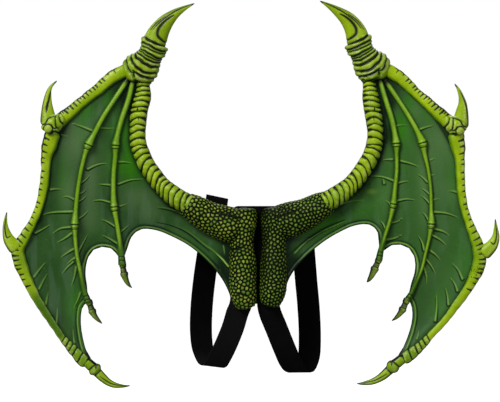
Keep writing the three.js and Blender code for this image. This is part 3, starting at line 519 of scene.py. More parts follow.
# Lines carved along the claws: each place is a share from root to tip and one from inner to outer edge
THUMB_LINES = table("wide deep places", [
    (3.2, 2.6, ((0.6, -0.12), (0.52, 0.04), (0.41, 0.16), (0.269, 0.17), (0.179, -0.06), (0.132, -0.6),
                (0.115, -1.1))),
    (1.5, 1.3, ((0.94, 0.3), (0.71, 0.43), (0.489, 0.44), (0.32, 0.58), (0.232, 0.6))),
    (1.1, 0.8, ((0.5, 0.62), (0.34, 0.76), (0.2, 0.8))),
])
SPUR_UPPER_LINES = {"left": table("wide deep places", [
    (2, 1.2, ((0.85, -0.9), (0.6, -0.55), (0.45, -0.3), (0.3, 0.08), (0.2, 0.2))),
    (3, 1.4, ((0.48, -0.25), (0.36, -0.02), (0.28, 0.12), (0.24, 0.06))),
]), "right": table("wide deep places", [
    (1.2, 0.8, ((0.8, 0.3), (0.6, 0.55), (0.4, 0.75), (0.15, 0.8))),
])}
SPUR_LOWER_LINES = table("wide deep places", [
    (1.5, 1.3, ((0.89, -0.19), (0.57, 0.25), (0.31, 0.17), (0.32, -0.59))),
])
TIP_CLAW_LINES = table("wide deep places", [
    (1.2, 0.9, ((0.18, 0.2), (0.34, 0.05), (0.54, -0.06), (0.83, -0.3))),
])
TIP_KNUCKLE_LINES = table("wide deep places", [
    (1.5, 1.6, ((0.4, 1.1), (0.42, 0.2), (0.5, -1.1))),
    (1.6, 1.2, ((0.68, -0.2), (0.62, -0.42), (0.56, -0.56))),
])

# Dark rings round the bones: their share of the length, width and depth
LEAD_TIP_RINGS = table("at wide deep", [
    (0.867, 1.4, 1.5), (0.889, 1.6, 1.7), (0.909, 1.5, 1.7), (0.93, 1.7, 1.8), (0.961, 1.7, 1.9),
    (0.995, 2.6, 2.6),
])
FINGER_2_RINGS = table("at_left at_right wide deep", [
    (0.327, 0.311, 1.1, 1.2), (0.346, 0.33, 0.9, 1), (0.667, 0.658, 1.1, 1.2), (0.686, 0.677, 0.9, 1),
    (0.972, 0.972, 0.9, 1), (0.988, 0.988, 0.9, 1),
])
FINGER_3_RINGS = table("at_left at_right wide deep", [
    (0.363, 0.363, 1.1, 1.2), (0.381, 0.381, 0.9, 1), (0.688, 0.688, 1, 1.1), (0.71, 0.71, 1, 1.1),
    (0.955, 0.955, 0.9, 1), (0.975, 0.975, 0.9, 1),
])
FINGER_2_CLAW_RINGS = table("at wide deep", [(0.14, 1.5, 1.4), (0.31, 1, 1)])
FINGER_3_CLAW_RINGS = table("at wide deep", [(0.15, 1.5, 1.4), (0.31, 1, 1)])

# Veins of the webs, as places in their own wing
LEFT_VEINS = table("wide deep places", [
    (1.6, 0.9, ((0.748, 0.528), (0.71, 0.516), (0.664, 0.498))),
    (1.3, 0.6, ((0.63, 0.508), (0.6, 0.506), (0.566, 0.508))),
    (1.2, 0.5, ((0.784, 0.48), (0.77, 0.476), (0.756, 0.474))),
    (1.5, 0.9, ((0.828, 0.262), (0.806, 0.264), (0.78, 0.262))),
    (1.7, 1, ((0.864, 0.16), (0.824, 0.17), (0.74, 0.174))),
    (1.6, 0.9, ((0.89, 0.088), (0.86, 0.104), (0.828, 0.124))),
    (1.5, 0.8, ((0.784, 0.232), (0.76, 0.234), (0.734, 0.222))),
    (1.7, 1, ((0.824, 0.084), (0.79, 0.106), (0.746, 0.112))),
    (1.7, 1, ((0.808, 0.048), (0.774, 0.066), (0.744, 0.088))),
    (1.7, 1, ((0.792, -0.012), (0.764, 0.008), (0.738, 0.024))),
    (1.7, 1, ((0.768, -0.04), (0.748, -0.022), (0.73, -0.01))),
    (1.5, 0.9, ((0.708, 0.288), (0.69, 0.3), (0.668, 0.324))),
    (1.4, 0.8, ((0.716, 0.244), (0.7, 0.25), (0.684, 0.266))),
    (1.5, 0.9, ((0.72, 0.212), (0.702, 0.222), (0.684, 0.24))),
    (1.5, 0.9, ((0.72, 0.144), (0.7, 0.156), (0.676, 0.18))),
    (1.6, 0.9, ((0.72, 0.008), (0.704, 0.04), (0.68, 0.086))),
    (1.6, 0.9, ((0.68, 0.344), (0.64, 0.362), (0.6, 0.368))),
    (1.5, 0.9, ((0.64, 0.284), (0.614, 0.282), (0.588, 0.28))),
    (1.6, 0.9, ((0.664, 0.216), (0.63, 0.22), (0.588, 0.21))),
    (1.6, 0.9, ((0.628, 0.144), (0.6, 0.132), (0.572, 0.114))),
    (1.6, 0.9, ((0.628, 0.082), (0.596, 0.066), (0.564, 0.046))),
    (1.5, 0.8, ((0.556, 0.372), (0.53, 0.372), (0.5, 0.366))),
    (1.6, 0.9, ((0.558, 0.284), (0.51, 0.3), (0.452, 0.304))),
    (1.3, 0.6, ((0.552, 0.196), (0.536, 0.2), (0.52, 0.206))),
    (1.4, 0.7, ((0.55, 0.092), (0.532, 0.106), (0.512, 0.124))),
    (1.5, 0.8, ((0.896, -0.088), (0.868, -0.05), (0.848, -0.028))),
    (1.5, 0.8, ((0.876, -0.136), (0.858, -0.1), (0.84, -0.072))),
    (1.4, 0.7, ((0.848, -0.196), (0.844, -0.17), (0.836, -0.144))),
    (1.4, 0.7, ((0.808, -0.28), (0.804, -0.24), (0.804, -0.208))),
    (1.6, 0.9, ((0.788, -0.08), (0.764, -0.05), (0.74, -0.028))),
    (1.6, 0.9, ((0.748, -0.128), (0.736, -0.09), (0.728, -0.048))),
    (1.5, 0.8, ((0.74, -0.216), (0.722, -0.18), (0.712, -0.152))),
    (1.4, 0.7, ((0.742, -0.292), (0.74, -0.32), (0.736, -0.352))),
    (1.4, 0.4, ((0.412, 0.194), (0.352, 0.184), (0.312, 0.168))),
    (1.5, 0.4, ((0.36, 0.126), (0.292, 0.1), (0.252, 0.072), (0.212, 0.04), (0.18, 0.018), (0.14, -0.02))),
    (2.2, 1.6, ((0.17, 0.008), (0.14, -0.02), (0.118, -0.046))),
    (1.4, 0.5, ((0.138, 0.036), (0.135, 0.016), (0.136, -0.004))),
])
LEFT_CREASES = table("wide deep places", [
    (1.5, 0.8, ((0.404, 0.13), (0.352, 0.118), (0.312, 0.103), (0.272, 0.079), (0.232, 0.046),
                (0.192, 0.012))),
    (1.2, 0.6, ((0.4, 0.186), (0.35, 0.176), (0.3, 0.156))),
])
RIGHT_VEINS = table("wide deep places", [
    (1.6, 0.9, ((0.64, 0.5), (0.674, 0.512), (0.708, 0.52))),
    (1.3, 0.6, ((0.548, 0.516), (0.574, 0.52), (0.6, 0.52))),
    (1.5, 0.8, ((0.496, 0.38), (0.516, 0.382), (0.536, 0.382))),
    (1.6, 0.9, ((0.448, 0.316), (0.5, 0.312), (0.544, 0.296))),
    (1.6, 0.8, ((0.498, 0.308), (0.502, 0.298), (0.504, 0.286))),
    (1.5, 0.8, ((0.56, 0.288), (0.584, 0.294), (0.604, 0.296))),
    (1.6, 0.9, ((0.572, 0.376), (0.61, 0.366), (0.648, 0.35))),
    (1.5, 0.8, ((0.636, 0.324), (0.658, 0.31), (0.676, 0.292))),
    (1.4, 0.8, ((0.652, 0.268), (0.668, 0.258), (0.684, 0.244))),
    (1.5, 0.8, ((0.648, 0.24), (0.668, 0.226), (0.684, 0.208))),
    (1.3, 0.6, ((0.688, 0.38), (0.698, 0.384), (0.708, 0.388))),
    (1.3, 0.6, ((0.692, 0.32), (0.7, 0.32), (0.708, 0.32))),
    (1.3, 0.6, ((0.7, 0.22), (0.714, 0.224), (0.728, 0.226))),
    (1.6, 0.9, ((0.552, 0.216), (0.594, 0.224), (0.632, 0.22))),
    (1.4, 0.7, ((0.508, 0.22), (0.52, 0.212), (0.532, 0.2))),
    (1.7, 1, ((0.704, 0.172), (0.75, 0.168), (0.808, 0.148))),
    (1.7, 1, ((0.708, 0.104), (0.742, 0.094), (0.768, 0.076))),
    (1.7, 1, ((0.696, 0.08), (0.728, 0.062), (0.756, 0.036))),
    (1.5, 0.8, ((0.656, 0.172), (0.67, 0.158), (0.68, 0.14))),
    (1.5, 0.8, ((0.488, 0.138), (0.5, 0.126), (0.508, 0.108))),
    (1.5, 0.8, ((0.528, 0.128), (0.558, 0.134), (0.58, 0.152))),
    (1.6, 0.9, ((0.512, 0.06), (0.55, 0.068), (0.584, 0.088))),
    (1.5, 0.8, ((0.76, 0.256), (0.776, 0.256), (0.792, 0.252))),
    (1.6, 0.9, ((0.64, 0.08), (0.656, 0.052), (0.664, 0.02))),
    (1.6, 0.9, ((0.772, -0.028), (0.8, -0.058), (0.818, -0.096))),
    (1.6, 0.9, ((0.768, -0.088), (0.788, -0.116), (0.798, -0.144))),
    (1.5, 0.9, ((0.748, -0.128), (0.758, -0.162), (0.762, -0.2))),
    (1.6, 0.9, ((0.714, -0.152), (0.716, -0.21), (0.71, -0.264))),
    (1.6, 0.9, ((0.676, -0.12), (0.674, -0.084), (0.664, -0.048))),
    (1.6, 0.9, ((0.692, 0.016), (0.712, 0), (0.732, -0.024))),
    (1.6, 0.9, ((0.668, -0.012), (0.694, -0.044), (0.712, -0.08))),
    (1.3, 0.6, ((0.644, -0.3), (0.642, -0.32), (0.636, -0.336))),
    (1.4, 0.4, ((0.328, 0.204), (0.38, 0.216), (0.432, 0.22))),
    (1.3, 0.6, ((0.36, 0.14), (0.308, 0.116), (0.248, 0.09), (0.22, 0.074), (0.188, 0.048), (0.148, 0.008))),
    (1.2, 0.7, ((0.36, 0.14), (0.308, 0.116), (0.248, 0.09), (0.2, 0.058))),
])
RIGHT_CREASES = table("wide deep places", [
    (2, 1, ((0.348, 0.14), (0.308, 0.125), (0.268, 0.107), (0.228, 0.083), (0.196, 0.061), (0.168, 0.038),
            (0.14, 0.012), (0.114, -0.016))),
])

# Soft patches of paint on the webs, the pale ones painted sheen and the dark ones painted shade: their place
# and size, and how strong they are on the left and right web
WEB_PATCHES = table("paint out up across tall left right", [
    ("pale", 0.73, 0.46, 26, 44, 0.9, 0.7),
    ("pale", 0.76, 0.26, 22, 30, 0.5, 0.4),
    ("pale", 0.67, 0.31, 14, 60, 0.9, 0.9),
    ("pale", 0.68, 0.14, 18, 26, 0.5, 0.2),
    ("pale", 0.49, 0.24, 34, 20, 0.5, 0.4),
    ("pale", 0.44, 0.18, 30, 22, 0.5, 0),
    ("pale", 0.74, 0.02, 20, 26, 0.35, 0.1),
    ("pale", 0.62, 0.58, 14, 22, 0.3, 0.5),
    ("bright", 0.55, 0.5, 16, 26, 0.8, 0.6),
    ("bright", 0.51, 0.41, 14, 36, 0.85, 0),
    ("bright", 0.5, 0.33, 26, 22, 0.6, 0),
    ("bright", 0.56, 0.36, 14, 20, 0.5, 0.3),
    ("bright", 0.69, 0.58, 20, 20, 0.5, 0.4),
    ("bright", 0.6, 0.62, 10, 26, 0.5, 0.5),
    ("bright", 0.78, 0.3, 10, 40, 0.3, 0.3),
    ("bright", 0.73, -0.2, 18, 36, 0.55, 0.3),
    ("bright", 0.26, 0.12, 44, 20, 0, 0.7),
    ("bright", 0.84, -0.02, 40, 60, 0, 0.3),
    ("bright", 0.65, 0.3, 100, 200, 0, 0.25),
    ("bright", 0.584, 0.52, 18, 50, 0, 0.45),
    ("bright", 0.42, 0.24, 50, 50, 0, 0.35),
    ("bright", 0.704, 0.52, 16, 40, 0.3, 0),
    ("bright", 0.576, 0.62, 14, 20, 0.3, 0),
    ("bright", 0.576, 0.36, 14, 34, 0.3, 0),
    ("tint", 0.452, 0.254, 11, 5, 0, 0.5),
    ("pale", 0.65, 0.3, 100, 200, 0, 0.35),
    ("pale", 0.768, 0.268, 14, 80, 0.25, 0),
    ("pale", 0.74, -0.2, 40, 60, 0.15, 0.15),
    ("wash_and_shade", 0.5, 0.6, 8, 40, 0.7, 0.9),
    ("wash_and_shade", 0.51, 0.48, 14, 26, 0, 0.8),
    ("wash_and_shade", 0.47, 0.38, 14, 34, 0, 0.6),
    ("wash_and_shade", 0.44, 0.25, 26, 26, 0, 0.5),
    ("wash_and_shade", 0.53, 0.6, 10, 20, 0.5, 0.4),
    ("wash_and_shade", 0.805, 0.44, 14, 60, 0.4, 0.1),
    ("wash_and_shade", 0.61, 0.2, 12, 50, 0.35, 0.1),
    ("wash_and_shade", 0.87, 0.16, 16, 44, 0.5, 0.1),
    ("wash_and_shade", 0.86, -0.05, 40, 60, 0.2, 0),
    ("wash_and_shade", 0.8, -0.26, 16, 30, 0.45, 0.15),
    ("wash_and_shade", 0.33, 0.17, 30, 14, 0.35, 0.35),
    ("wash_and_shade", 0.36, 0.12, 40, 12, 0.25, 0.15),
    ("wash_and_shade", 0.14, -0.02, 20, 34, 0.5, 0.5),
    ("wash_and_shade", 0.832, 0.3, 14, 40, 0.3, 0),
    ("wash_and_shade", 0.672, -0.415, 12, 16, 1, 0),
    ("wash_and_shade", 0.566, -0.405, 12, 16, 0, 1),
    ("wash_and_shade", 0.13, -0.07, 20, 30, 0.75, 0.8),
    ("wash_and_shade", 0.13, 0.07, 20, 30, 0.3, 0.4),
])

# Painted shade on the scaled bases in soft dark patches, and painted light where the number is below zero:
# their place, their size across and up, and how dark they are on each
BASE_SHADES = table(PLACE + "across tall left right", [
    (0.08, 0.03, 0.06, 0, 30, 60, 0.12, 0.3),
    (0.02, 0.05, 0.02, 0.05, 12, 110, 0.1, 0.4),
    (0.14, 0.17, 0.1, 0.17, 70, 14, 0.25, 0.3),
    (0.1, 0, 0.1, -0.1, 18, 50, 0.15, 0.1),
    (0.12, 0.1, 0.15, 0.13, 40, 30, -0.1, 0.15),
    (0.06, -0.2, 0.06, -0.18, 36, 18, -0.2, -0.05),
    (0.08, 0, 0.08, 0, 140, 160, 0, 0.04),
    (0.06, 0.2, 0.06, 0.2, 40, 14, 0.2, 0.2),
    (0.018, 0.118, 0.018, 0.118, 5, 5, -1, 0),
])
# Creases and darker patches of the scaled bases
BASE_CREASES = {"left": table("wide deep places", [
    (3.6, 2.4, ((0.172, 0.168), (0.13, 0.162), (0.104, 0.156), (0.07, 0.146))),
    (2.6, 1.8, ((0.12, 0.026), (0.09, 0.024), (0.05, 0.036))),
    (2.4, 1.6, ((0.094, -0.15), (0.07, -0.155), (0.046, -0.166))),
]), "right": table("wide deep places", [
    (2.9, 2, ((0.06, 0.146), (0.1, 0.16), (0.13, 0.17), (0.17, 0.187))),
])}

BACKWARD = np.array([0, 1.0, 0])
FORWARD = -BACKWARD
FAR = 1000.0
NUDGE = 0.002
TINY = 1e-9
THINNEST = 0.8
TUCK_WIDTH = 0.8
CLOSED = 0.05
BASE_EDGE_WIDE = 0.3

# How the bones and claws are built: their width, how they swell in front and behind as shares of half of it,
# how their ends round off, how finely they are divided, how far they sit forward and how far they reach into
# what holds them
TUBE_FORM = {"front": 0.8, "rear": 0.8, "flat_rear": None, "round": 0.3, "step": BONE_STEP,
             "columns": BONE_COLUMNS, "forward": 0, "tuck": 0}
THUMB_FORM = {"width": THUMB_CLAW_WIDTH, "front": 0.75, "rear": 0.75, "round": 0.1, "step": 1.2}
WRIST_FORM = {"fore": 0.455, "front": 0.8, "round": 0.05, "step": 0.9, "taper": 0.3}
ARM_FORM = {"width": ARM_WIDTH, "front": 0.9, "step": 1.2}
LEAD_FORM = {"width": LEAD_BONE_WIDTH, "front": 0.62}
ELBOW_FORM = {"width": ELBOW_WIDTH, "front": 0.9, "round": 0.2, "forward": 4, "step": 0.9}
SPUR_FORM = {"width": SPUR_WIDTH, "front": 0.7, "round": 0.1, "step": 1.1}
SPUR_TUCK = {"upper": 9, "lower": 8}
TIP_KNUCKLE_FORM = {"width": TIP_KNUCKLE_WIDTH, "round": 0.15, "tuck": 4, "step": 0.8}
TIP_CLAW_FORM = {"width": TIP_CLAW_WIDTH, "round": 0.1, "step": 0.9}
FINGER_FORM = {"width": 1.1 * FINGER_WIDTH, "columns": FINGER_COLUMNS, "front": 1,
               "flat_rear": FINGER_REAR + 2 * GAP, "round": 0.1, "step": 0.9, "tuck": 6,
               "forward": WEB_THICKNESS / 2 + GAP + FINGER_REAR}
FINGER_CLAW_FORM = {"width": 1.03 * FINGER_CLAW_WIDTH, "round": 0.15, "tuck": 5, "step": 0.7}
SHOULDER_FORM = {"width": SHOULDER_WIDTH, "front": 0.95, "rear": 0.7, "step": 3}
BASE_FORM = {"width": BASE_WIDTH, "front": 1.05, "round": 0.1, "step": 3}


def length_of(vectors):
    return np.linalg.norm(vectors, axis=-1)


def unit(vectors):
    return vectors / np.maximum(np.linalg.norm(vectors, axis=-1, keepdims=True), TINY)


def smooth(low, high, values):
    """0 below low, 1 above high and an easy slope between."""
    share = np.clip((values - low) / (high - low), 0, 1)
    return share * share * (3 - 2 * share)


def hill(distance, wide):
    """1 where the distance is 0, falling to nothing beyond about twice this width."""
    return np.exp(-((distance / wide) ** 2))


def wobble(places, size, seed):
    """Smooth noise from about -1 to 1 whose bumps are about this size."""
    random = np.random.default_rng(seed)
    total = 0
    for _ in range(7):
        direction = unit(random.normal(size=3)) * random.uniform(0.6, 1.5) * 2 * math.pi / size
        total = total + np.sin(places @ direction + random.uniform(0, 2 * math.pi))
    return total / 3


def catmull_rom(points, shares):
    """Places at these shares of the centripetal Catmull-Rom curve through the points."""
    points = np.asarray(points, float)
    scaled = np.asarray(shares, float) * (len(points) - 1)
    index = np.minimum(scaled.astype(int), len(points) - 2)
    w = (scaled - index)[:, None]
    padded = np.vstack([2 * points[0] - points[1], points, 2 * points[-1] - points[-2]])
    p0, p1, p2, p3 = (padded[index + k] for k in range(4))
    a, b, c = (np.maximum(length_of(q - p), 1e-6)[:, None] ** 0.5 for p, q in ((p0, p1), (p1, p2), (p2, p3)))
    leaving = b * ((p1 - p0) / a - (p2 - p0) / (a + b) + (p2 - p1) / b)
    arriving = b * ((p2 - p1) / b - (p3 - p1) / (b + c) + (p3 - p2) / c)
    square = 3 * (p2 - p1) - 2 * leaving - arriving
    cube = 2 * (p1 - p2) + leaving + arriving
    return p1 + leaving * w + square * w ** 2 + cube * w ** 3


def curve_through(flat):
    """A fine line of flat places through a few."""
    padded = [(x, 0, z) for x, z in flat]
    return catmull_rom(padded, np.linspace(0, 1, 6 * len(flat) - 5))[:, [0, 2]]


class Route:
    """A smooth curve through points, read at shares of its length."""

    def __init__(self, points):
        self.steps = np.linspace(0, 1, ROUTE_STEPS)
        self.curve = catmull_rom(points, self.steps)
        lengths = length_of(np.diff(self.curve, axis=0))
        self.length = lengths.sum()
        self.shares = np.concatenate([[0], np.cumsum(lengths)]) / self.length

    def read(self, share, scale):
        return np.stack([np.interp(share, scale, self.curve[:, k]) for k in range(3)], axis=-1)

    def at(self, share):
        return self.read(share, self.shares)

    def in_step(self, share):
        """Places where the curve's own parameter has these values, so that two edges keep step."""
        return self.read(share, self.steps)

    def ahead(self, share):
        return unit(self.at(np.minimum(share + NUDGE, 1)) - self.at(np.maximum(share - NUDGE, 0)))

    def value(self, values, share):
        """A number that is given at each of the route's points, between them."""
        column = catmull_rom([(value, 0, 0) for value in values], self.steps)[:, 0]
        return np.interp(share, self.shares, column)

    def line(self, count):
        """The route as this many places seen from the front."""
        return self.at(np.linspace(0, 1, count))[:, [0, 2]]


class Wing:
    """One wing: it picks its own columns from the tables and turns shares into millimetres."""

    def __init__(self, name, sign, veins, creases):
        self.name = name
        self.sign = sign
        self.veins = veins
        self.creases = creases

    def own(self, row, column):
        return row[f"{column}_{self.name}"]

    def flat(self, out, up):
        """A place as seen from the front."""
        return (self.sign * out * WING_REACH, up * WING_RISE)

    def places(self, rows, depths):
        """The places of a table's rows, each with its depth."""
        flat = [self.flat(self.own(row, "out"), self.own(row, "up")) for row in rows]
        return [(x, depth, z) for (x, z), depth in zip(flat, depths)]

    def bone(self, rows, forward=0):
        return self.places(rows, [-row["fore"] * WING_CUP - forward for row in rows])

    def line(self, places, shift=(0, 0)):
        """The smooth line through places given as outs and ups."""
        return curve_through([self.flat(out + shift[0], up + shift[1]) for out, up in places])

    def from_patch(self, skin, out, up, across, tall):
        """How far a skin's places are from a patch's middle, in shares of its size."""
        return length_of((skin.flat - self.flat(out, up)) / (across, tall))


LEFT = Wing("left", -1, LEFT_VEINS, LEFT_CREASES)
RIGHT = Wing("right", 1, RIGHT_VEINS, RIGHT_CREASES)


def near_line(flat, line):
    """Distance from flat places to a line, and the share of the line that is nearest."""
    best = np.full(flat.shape[:-1], 1e9)
    share = np.zeros_like(best)
    for i, (start, end) in enumerate(zip(line[:-1], line[1:])):
        run = end - start
        along = np.clip(((flat - start) @ run) / max(run @ run, TINY), 0, 1)
        gap = length_of(flat - start - along[..., None] * run)
        closer = gap < best
        best = np.where(closer, gap, best)
        share = np.where(closer, (i + along) / (len(line) - 1), share)
    return best, share


class Skin:
    """A surface as a grid of places, with its relief and the paint in it."""

    def __init__(self, places, normals):
        self.places = places
        self.normals = normals
        self.flat = places[..., [0, 2]]
        self.lift = np.zeros(places.shape[:-1])
        self.paint = {name: np.zeros(places.shape[:-1]) for name in ("wash_and_shade", "pale", "tint")}
        self.facing = smooth(*FACING, -normals[..., 1])

    def brush(self, name, amount):
        """Lays paint where it is stronger than what is there."""
        self.paint[name] = np.maximum(self.paint[name], amount * self.facing)

    def carve(self, hollow, deep):
        """Sinks the surface by a share of the depth and fills the hollow with dark paint."""
        self.lift -= deep * hollow * self.facing
        self.brush("wash_and_shade", hollow ** HOLLOW_FILL)

    def near(self, line, reach):
        """Distance to a line and the nearest share of it, worked out only within this reach of it."""
        low, high = line.min(axis=0) - reach, line.max(axis=0) + reach
        close = np.all((self.flat > low) & (self.flat < high), axis=-1)
        distance = np.full(self.flat.shape[:-1], FAR)
        share = np.zeros_like(distance)
        distance[close], share[close] = near_line(self.flat[close], line)
        return distance, share

    def groove(self, line, row):
        """A carved line that thins towards its ends, in a softer shade."""
        distance, share = self.near(line, GROOVE_REACH * row["wide"])
        middle = np.sin(math.pi * np.clip(share, 0.02, 0.98)) ** 0.7
        thin = GROOVE_END + (1 - GROOVE_END) * middle
        self.carve(hill(distance, row["wide"] * thin), row["deep"] * thin)
        self.brush("wash_and_shade", GROOVE_SHADE * hill(distance, GROOVE_SHADE_WIDTH * row["wide"] * thin))

    def raised(self):
        return self.places + self.normals * self.lift[..., None]


class BoneSkin(Skin):
    """A tube's skin: each place also has its share along the bone and its side, 1 at the outer edge."""

    def onward(self, start, full):
        return smooth(start, full, self.share)

    def outward(self, start, full):
        return smooth(start, full, self.side)

    def inward(self, start, full):
        return smooth(start, full, -self.side)

    def sideward(self, start, full):
        return smooth(start, full, np.abs(self.side))

    def side_band(self, middle, wide):
        return hill(self.side - middle, wide)

    def share_band(self, middle, wide):
        return hill(self.share - middle, wide)

    def broken(self, start, full, size, seed):
        """Patches of noise, for paint that doesn't cover."""
        return smooth(start, full, wobble(self.places, size, seed))

    def body_line(self, places):
        """The line through places given by their share along the bone and their side."""
        flat = []
        for share, side in places:
            along = (share * self.length + self.tuck) / self.route.length
            across = unit(np.cross(self.route.ahead(along), BACKWARD))
            half = np.interp(share, self.share[:, 0], self.half[:, 0])
            flat.append((self.route.at(along) + across * side * half * self.outer)[[0, 2]])
        return curve_through(flat)

    def grooves(self, rows):
        for row in rows:
            self.groove(self.body_line(row["places"]), row)

    def rings(self, rows, shares, along, deep=1):
        """Grooves that run round the bone at shares of its length."""
        for row, share in zip(rows, shares):
            self.carve(hill(np.abs(along - share * self.length), row["wide"]), row["deep"] * deep)


def dome(share, rounding):
    """How far a tube has opened at a share of its length, with its ends rounded over this share."""
    edge = np.clip(np.minimum(share, 1 - share) / rounding, 0.01, 1)
    return np.sqrt(1 - (1 - edge) ** 2)


def turns(around):
    """Directions round a tube, closer together on its front."""
    front = int(around * FRONT_COLUMNS)
    return np.concatenate([np.linspace(math.pi, 2 * math.pi, front, endpoint=False),
                           np.linspace(0, math.pi, around - front, endpoint=False)])


def tube(wing, rows, form):
    """A bone or claw through the rows' sections, as a skin whose columns run round it."""
    form = {**TUBE_FORM, **form}
    places = [np.array(place) for place in wing.bone(rows, form["forward"])]
    widths = [row["wide"] * form["width"] for row in rows]
    tuck = form["tuck"]
    if tuck:
        places.insert(0, places[0] + unit(places[0] - places[1]) * tuck)
        widths.insert(0, widths[0] * TUCK_WIDTH)
    route = Route(places)
    share = np.linspace(0, 1, max(int(route.length / form["step"]), FEWEST_ROWS) + 1)
    turn = turns(max(int(max(widths) * form["columns"] / form["step"]), FEWEST_COLUMNS))[None, :]
    across = unit(np.cross(route.ahead(share), BACKWARD))
    behind = np.cross(across, route.ahead(share))
    opened = dome(share, form["round"] * widths[0] / route.length)
    half = np.maximum(route.value(widths, share), THINNEST) / 2 * opened
    rear = form["flat_rear"] * opened if form["flat_rear"] else half * form["rear"]
    side = np.cos(turn) * np.ones((len(share), 1))
    deep = np.sin(turn)
    depth = np.where(deep < 0, deep * half[:, None] * form["front"], deep * rear[:, None])
    grid = (route.at(share)[:, None] + across[:, None] * (side * half[:, None])[..., None]
            + behind[:, None] * depth[..., None])
    skin = BoneSkin(grid, round_normals(grid, route.at(share)))
    skin.route = route
    skin.tuck = tuck
    skin.length = route.length - tuck
    skin.half = np.maximum(half, THINNEST / 2)[:, None] * np.ones_like(side)
    skin.along = (share * route.length - tuck)[:, None] * np.ones_like(side)
    skin.share = skin.along / skin.length
    upward = places[-1][2] > places[0][2]
    skin.outer = wing.sign * (-1 if upward else 1)
    skin.side = side * skin.outer
    return skin


def fan(wing, sections, form, shift):
    """A tube whose sections run from an outer to an inner edge, as its rows give them."""
    edges = []
    for edge in ("outer", "inner"):
        flat = [wing.flat(row["out_" + edge] + shift[0], row["up_" + edge] + shift[1]) for row in sections]
        edges.append(Route([(x, -form["fore"] * WING_CUP, z) for x, z in flat]))
    share = np.linspace(0, 1, int(edges[0].length / form["step"]) + 1)
    outer, inner = (edge.in_step(share) for edge in edges)
    width = length_of(outer - inner)
    turn = turns(int(width.max() * BONE_COLUMNS / form["step"]))[None, :]
    opened = dome(share, form["round"])[:, None]
    side = np.cos(turn) * np.ones((len(share), 1))
    middle = (outer + inner)[:, None] / 2
    depth = np.sin(turn) * (width[:, None] / 2) * opened * form["front"]
    grid = (middle + (outer - inner)[:, None] / 2 * (side * opened ** form["taper"])[..., None]
            + depth[..., None] * BACKWARD)
    skin = BoneSkin(grid, round_normals(grid, middle[:, 0]))
    skin.share = share[:, None] * np.ones_like(side)
    skin.side = side
    return skin


def round_normals(places, middles):
    """Outward directions of a grid that closes round on itself."""
    down = np.gradient(places, axis=0)
    wrapped = np.concatenate([places[:, -1:], places, places[:, :1]], axis=1)
    around = (wrapped[:, 2:] - wrapped[:, :-2]) / 2
    normals = unit(np.cross(around, down))
    outward = places - middles[:, None]
    inside = np.sum(normals * outward, axis=-1).sum() < 0
    normals = -normals if inside else normals
    ends = length_of(outward)[..., None] < CLOSED
    return np.where(ends, FORWARD, normals)


def numbered(grid, first=0):
    """The numbers of a grid's points, row by row."""
    return first + np.arange(grid.shape[0] * grid.shape[1]).reshape(grid.shape[:2])


def quads(index, wrap=False):
    """Faces between neighbouring rows and columns of a grid of numbers."""
    right = np.roll(index, -1, axis=1) if wrap else index[:, 1:]
    left = index if wrap else index[:, :-1]
    corners = np.stack([left[:-1], left[1:], right[1:], right[:-1]], axis=-1)
    return [tuple(face) for face in corners.reshape(-1, 4).tolist()]


def tube_mesh(skin):
    """The closed mesh of a tube's skin, with a pole at each end."""
    places = skin.raised()
    index = numbered(places)
    faces = quads(index, True)
    first, last = index.size, index.size + 1
    for ring, pole in ((index[0], first), (index[-1], last)):
        around = np.roll(ring, -1)
        turned = zip(ring, around) if pole == last else zip(around, ring)
        faces += [(int(a), int(b), pole) for a, b in turned]
    points = np.vstack([places.reshape(-1, 3), places[0].mean(axis=0), places[-1].mean(axis=0)])
    paint = {key: np.concatenate([value.ravel(), [value[0].mean(), value[-1].mean()]])
             for key, value in skin.paint.items()}
    return make_mesh(points, faces, paint)


def make_mesh(points, faces, paint):
    """A smooth mesh in metres, its paint kept as attributes and its faces turned outward."""
    mesh = bpy.data.meshes.new("mesh")
    mesh.from_pydata((np.asarray(points) * MM).tolist(), [], faces)
    for key, values in paint.items():
        attribute = mesh.attributes.new(key, "FLOAT", "POINT")
        attribute.data.foreach_set("value", np.asarray(values, dtype=np.float32))
    mesh.update()
    if enclosed(mesh) < 0:
        mesh.flip_normals()
    mesh.shade_smooth()
    return mesh


def read_vertices(mesh, name):
    """A property of a mesh's vertices, three numbers each."""
    values = np.empty(len(mesh.vertices) * 3)
    mesh.vertices.foreach_get(name, values)
    return values.reshape(-1, 3)


def enclosed(mesh):
    """Signed volume of a closed mesh."""
    mesh.calc_loop_triangles()
    corners = np.empty(len(mesh.loop_triangles) * 3, dtype=np.int32)
    mesh.loop_triangles.foreach_get("vertices", corners)
    a, b, c = np.moveaxis(read_vertices(mesh, "co")[corners.reshape(-1, 3)], 1, 0)
    return np.sum(a * np.cross(b, c))


def add_object(name, data):
    thing = bpy.data.objects.new(name, data)
    bpy.context.scene.collection.objects.link(thing)
    return thing


def add_piece(stuff, node, mesh, slot, materials):
    """Puts a mesh in the scene in place of a node of the frame."""
    name = f"{stuff}_{node}"
    mesh.name = name
    mesh.materials.append(materials[slot])
    piece = add_object(name, mesh)
    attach(piece, "root")
    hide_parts(node)
    return piece


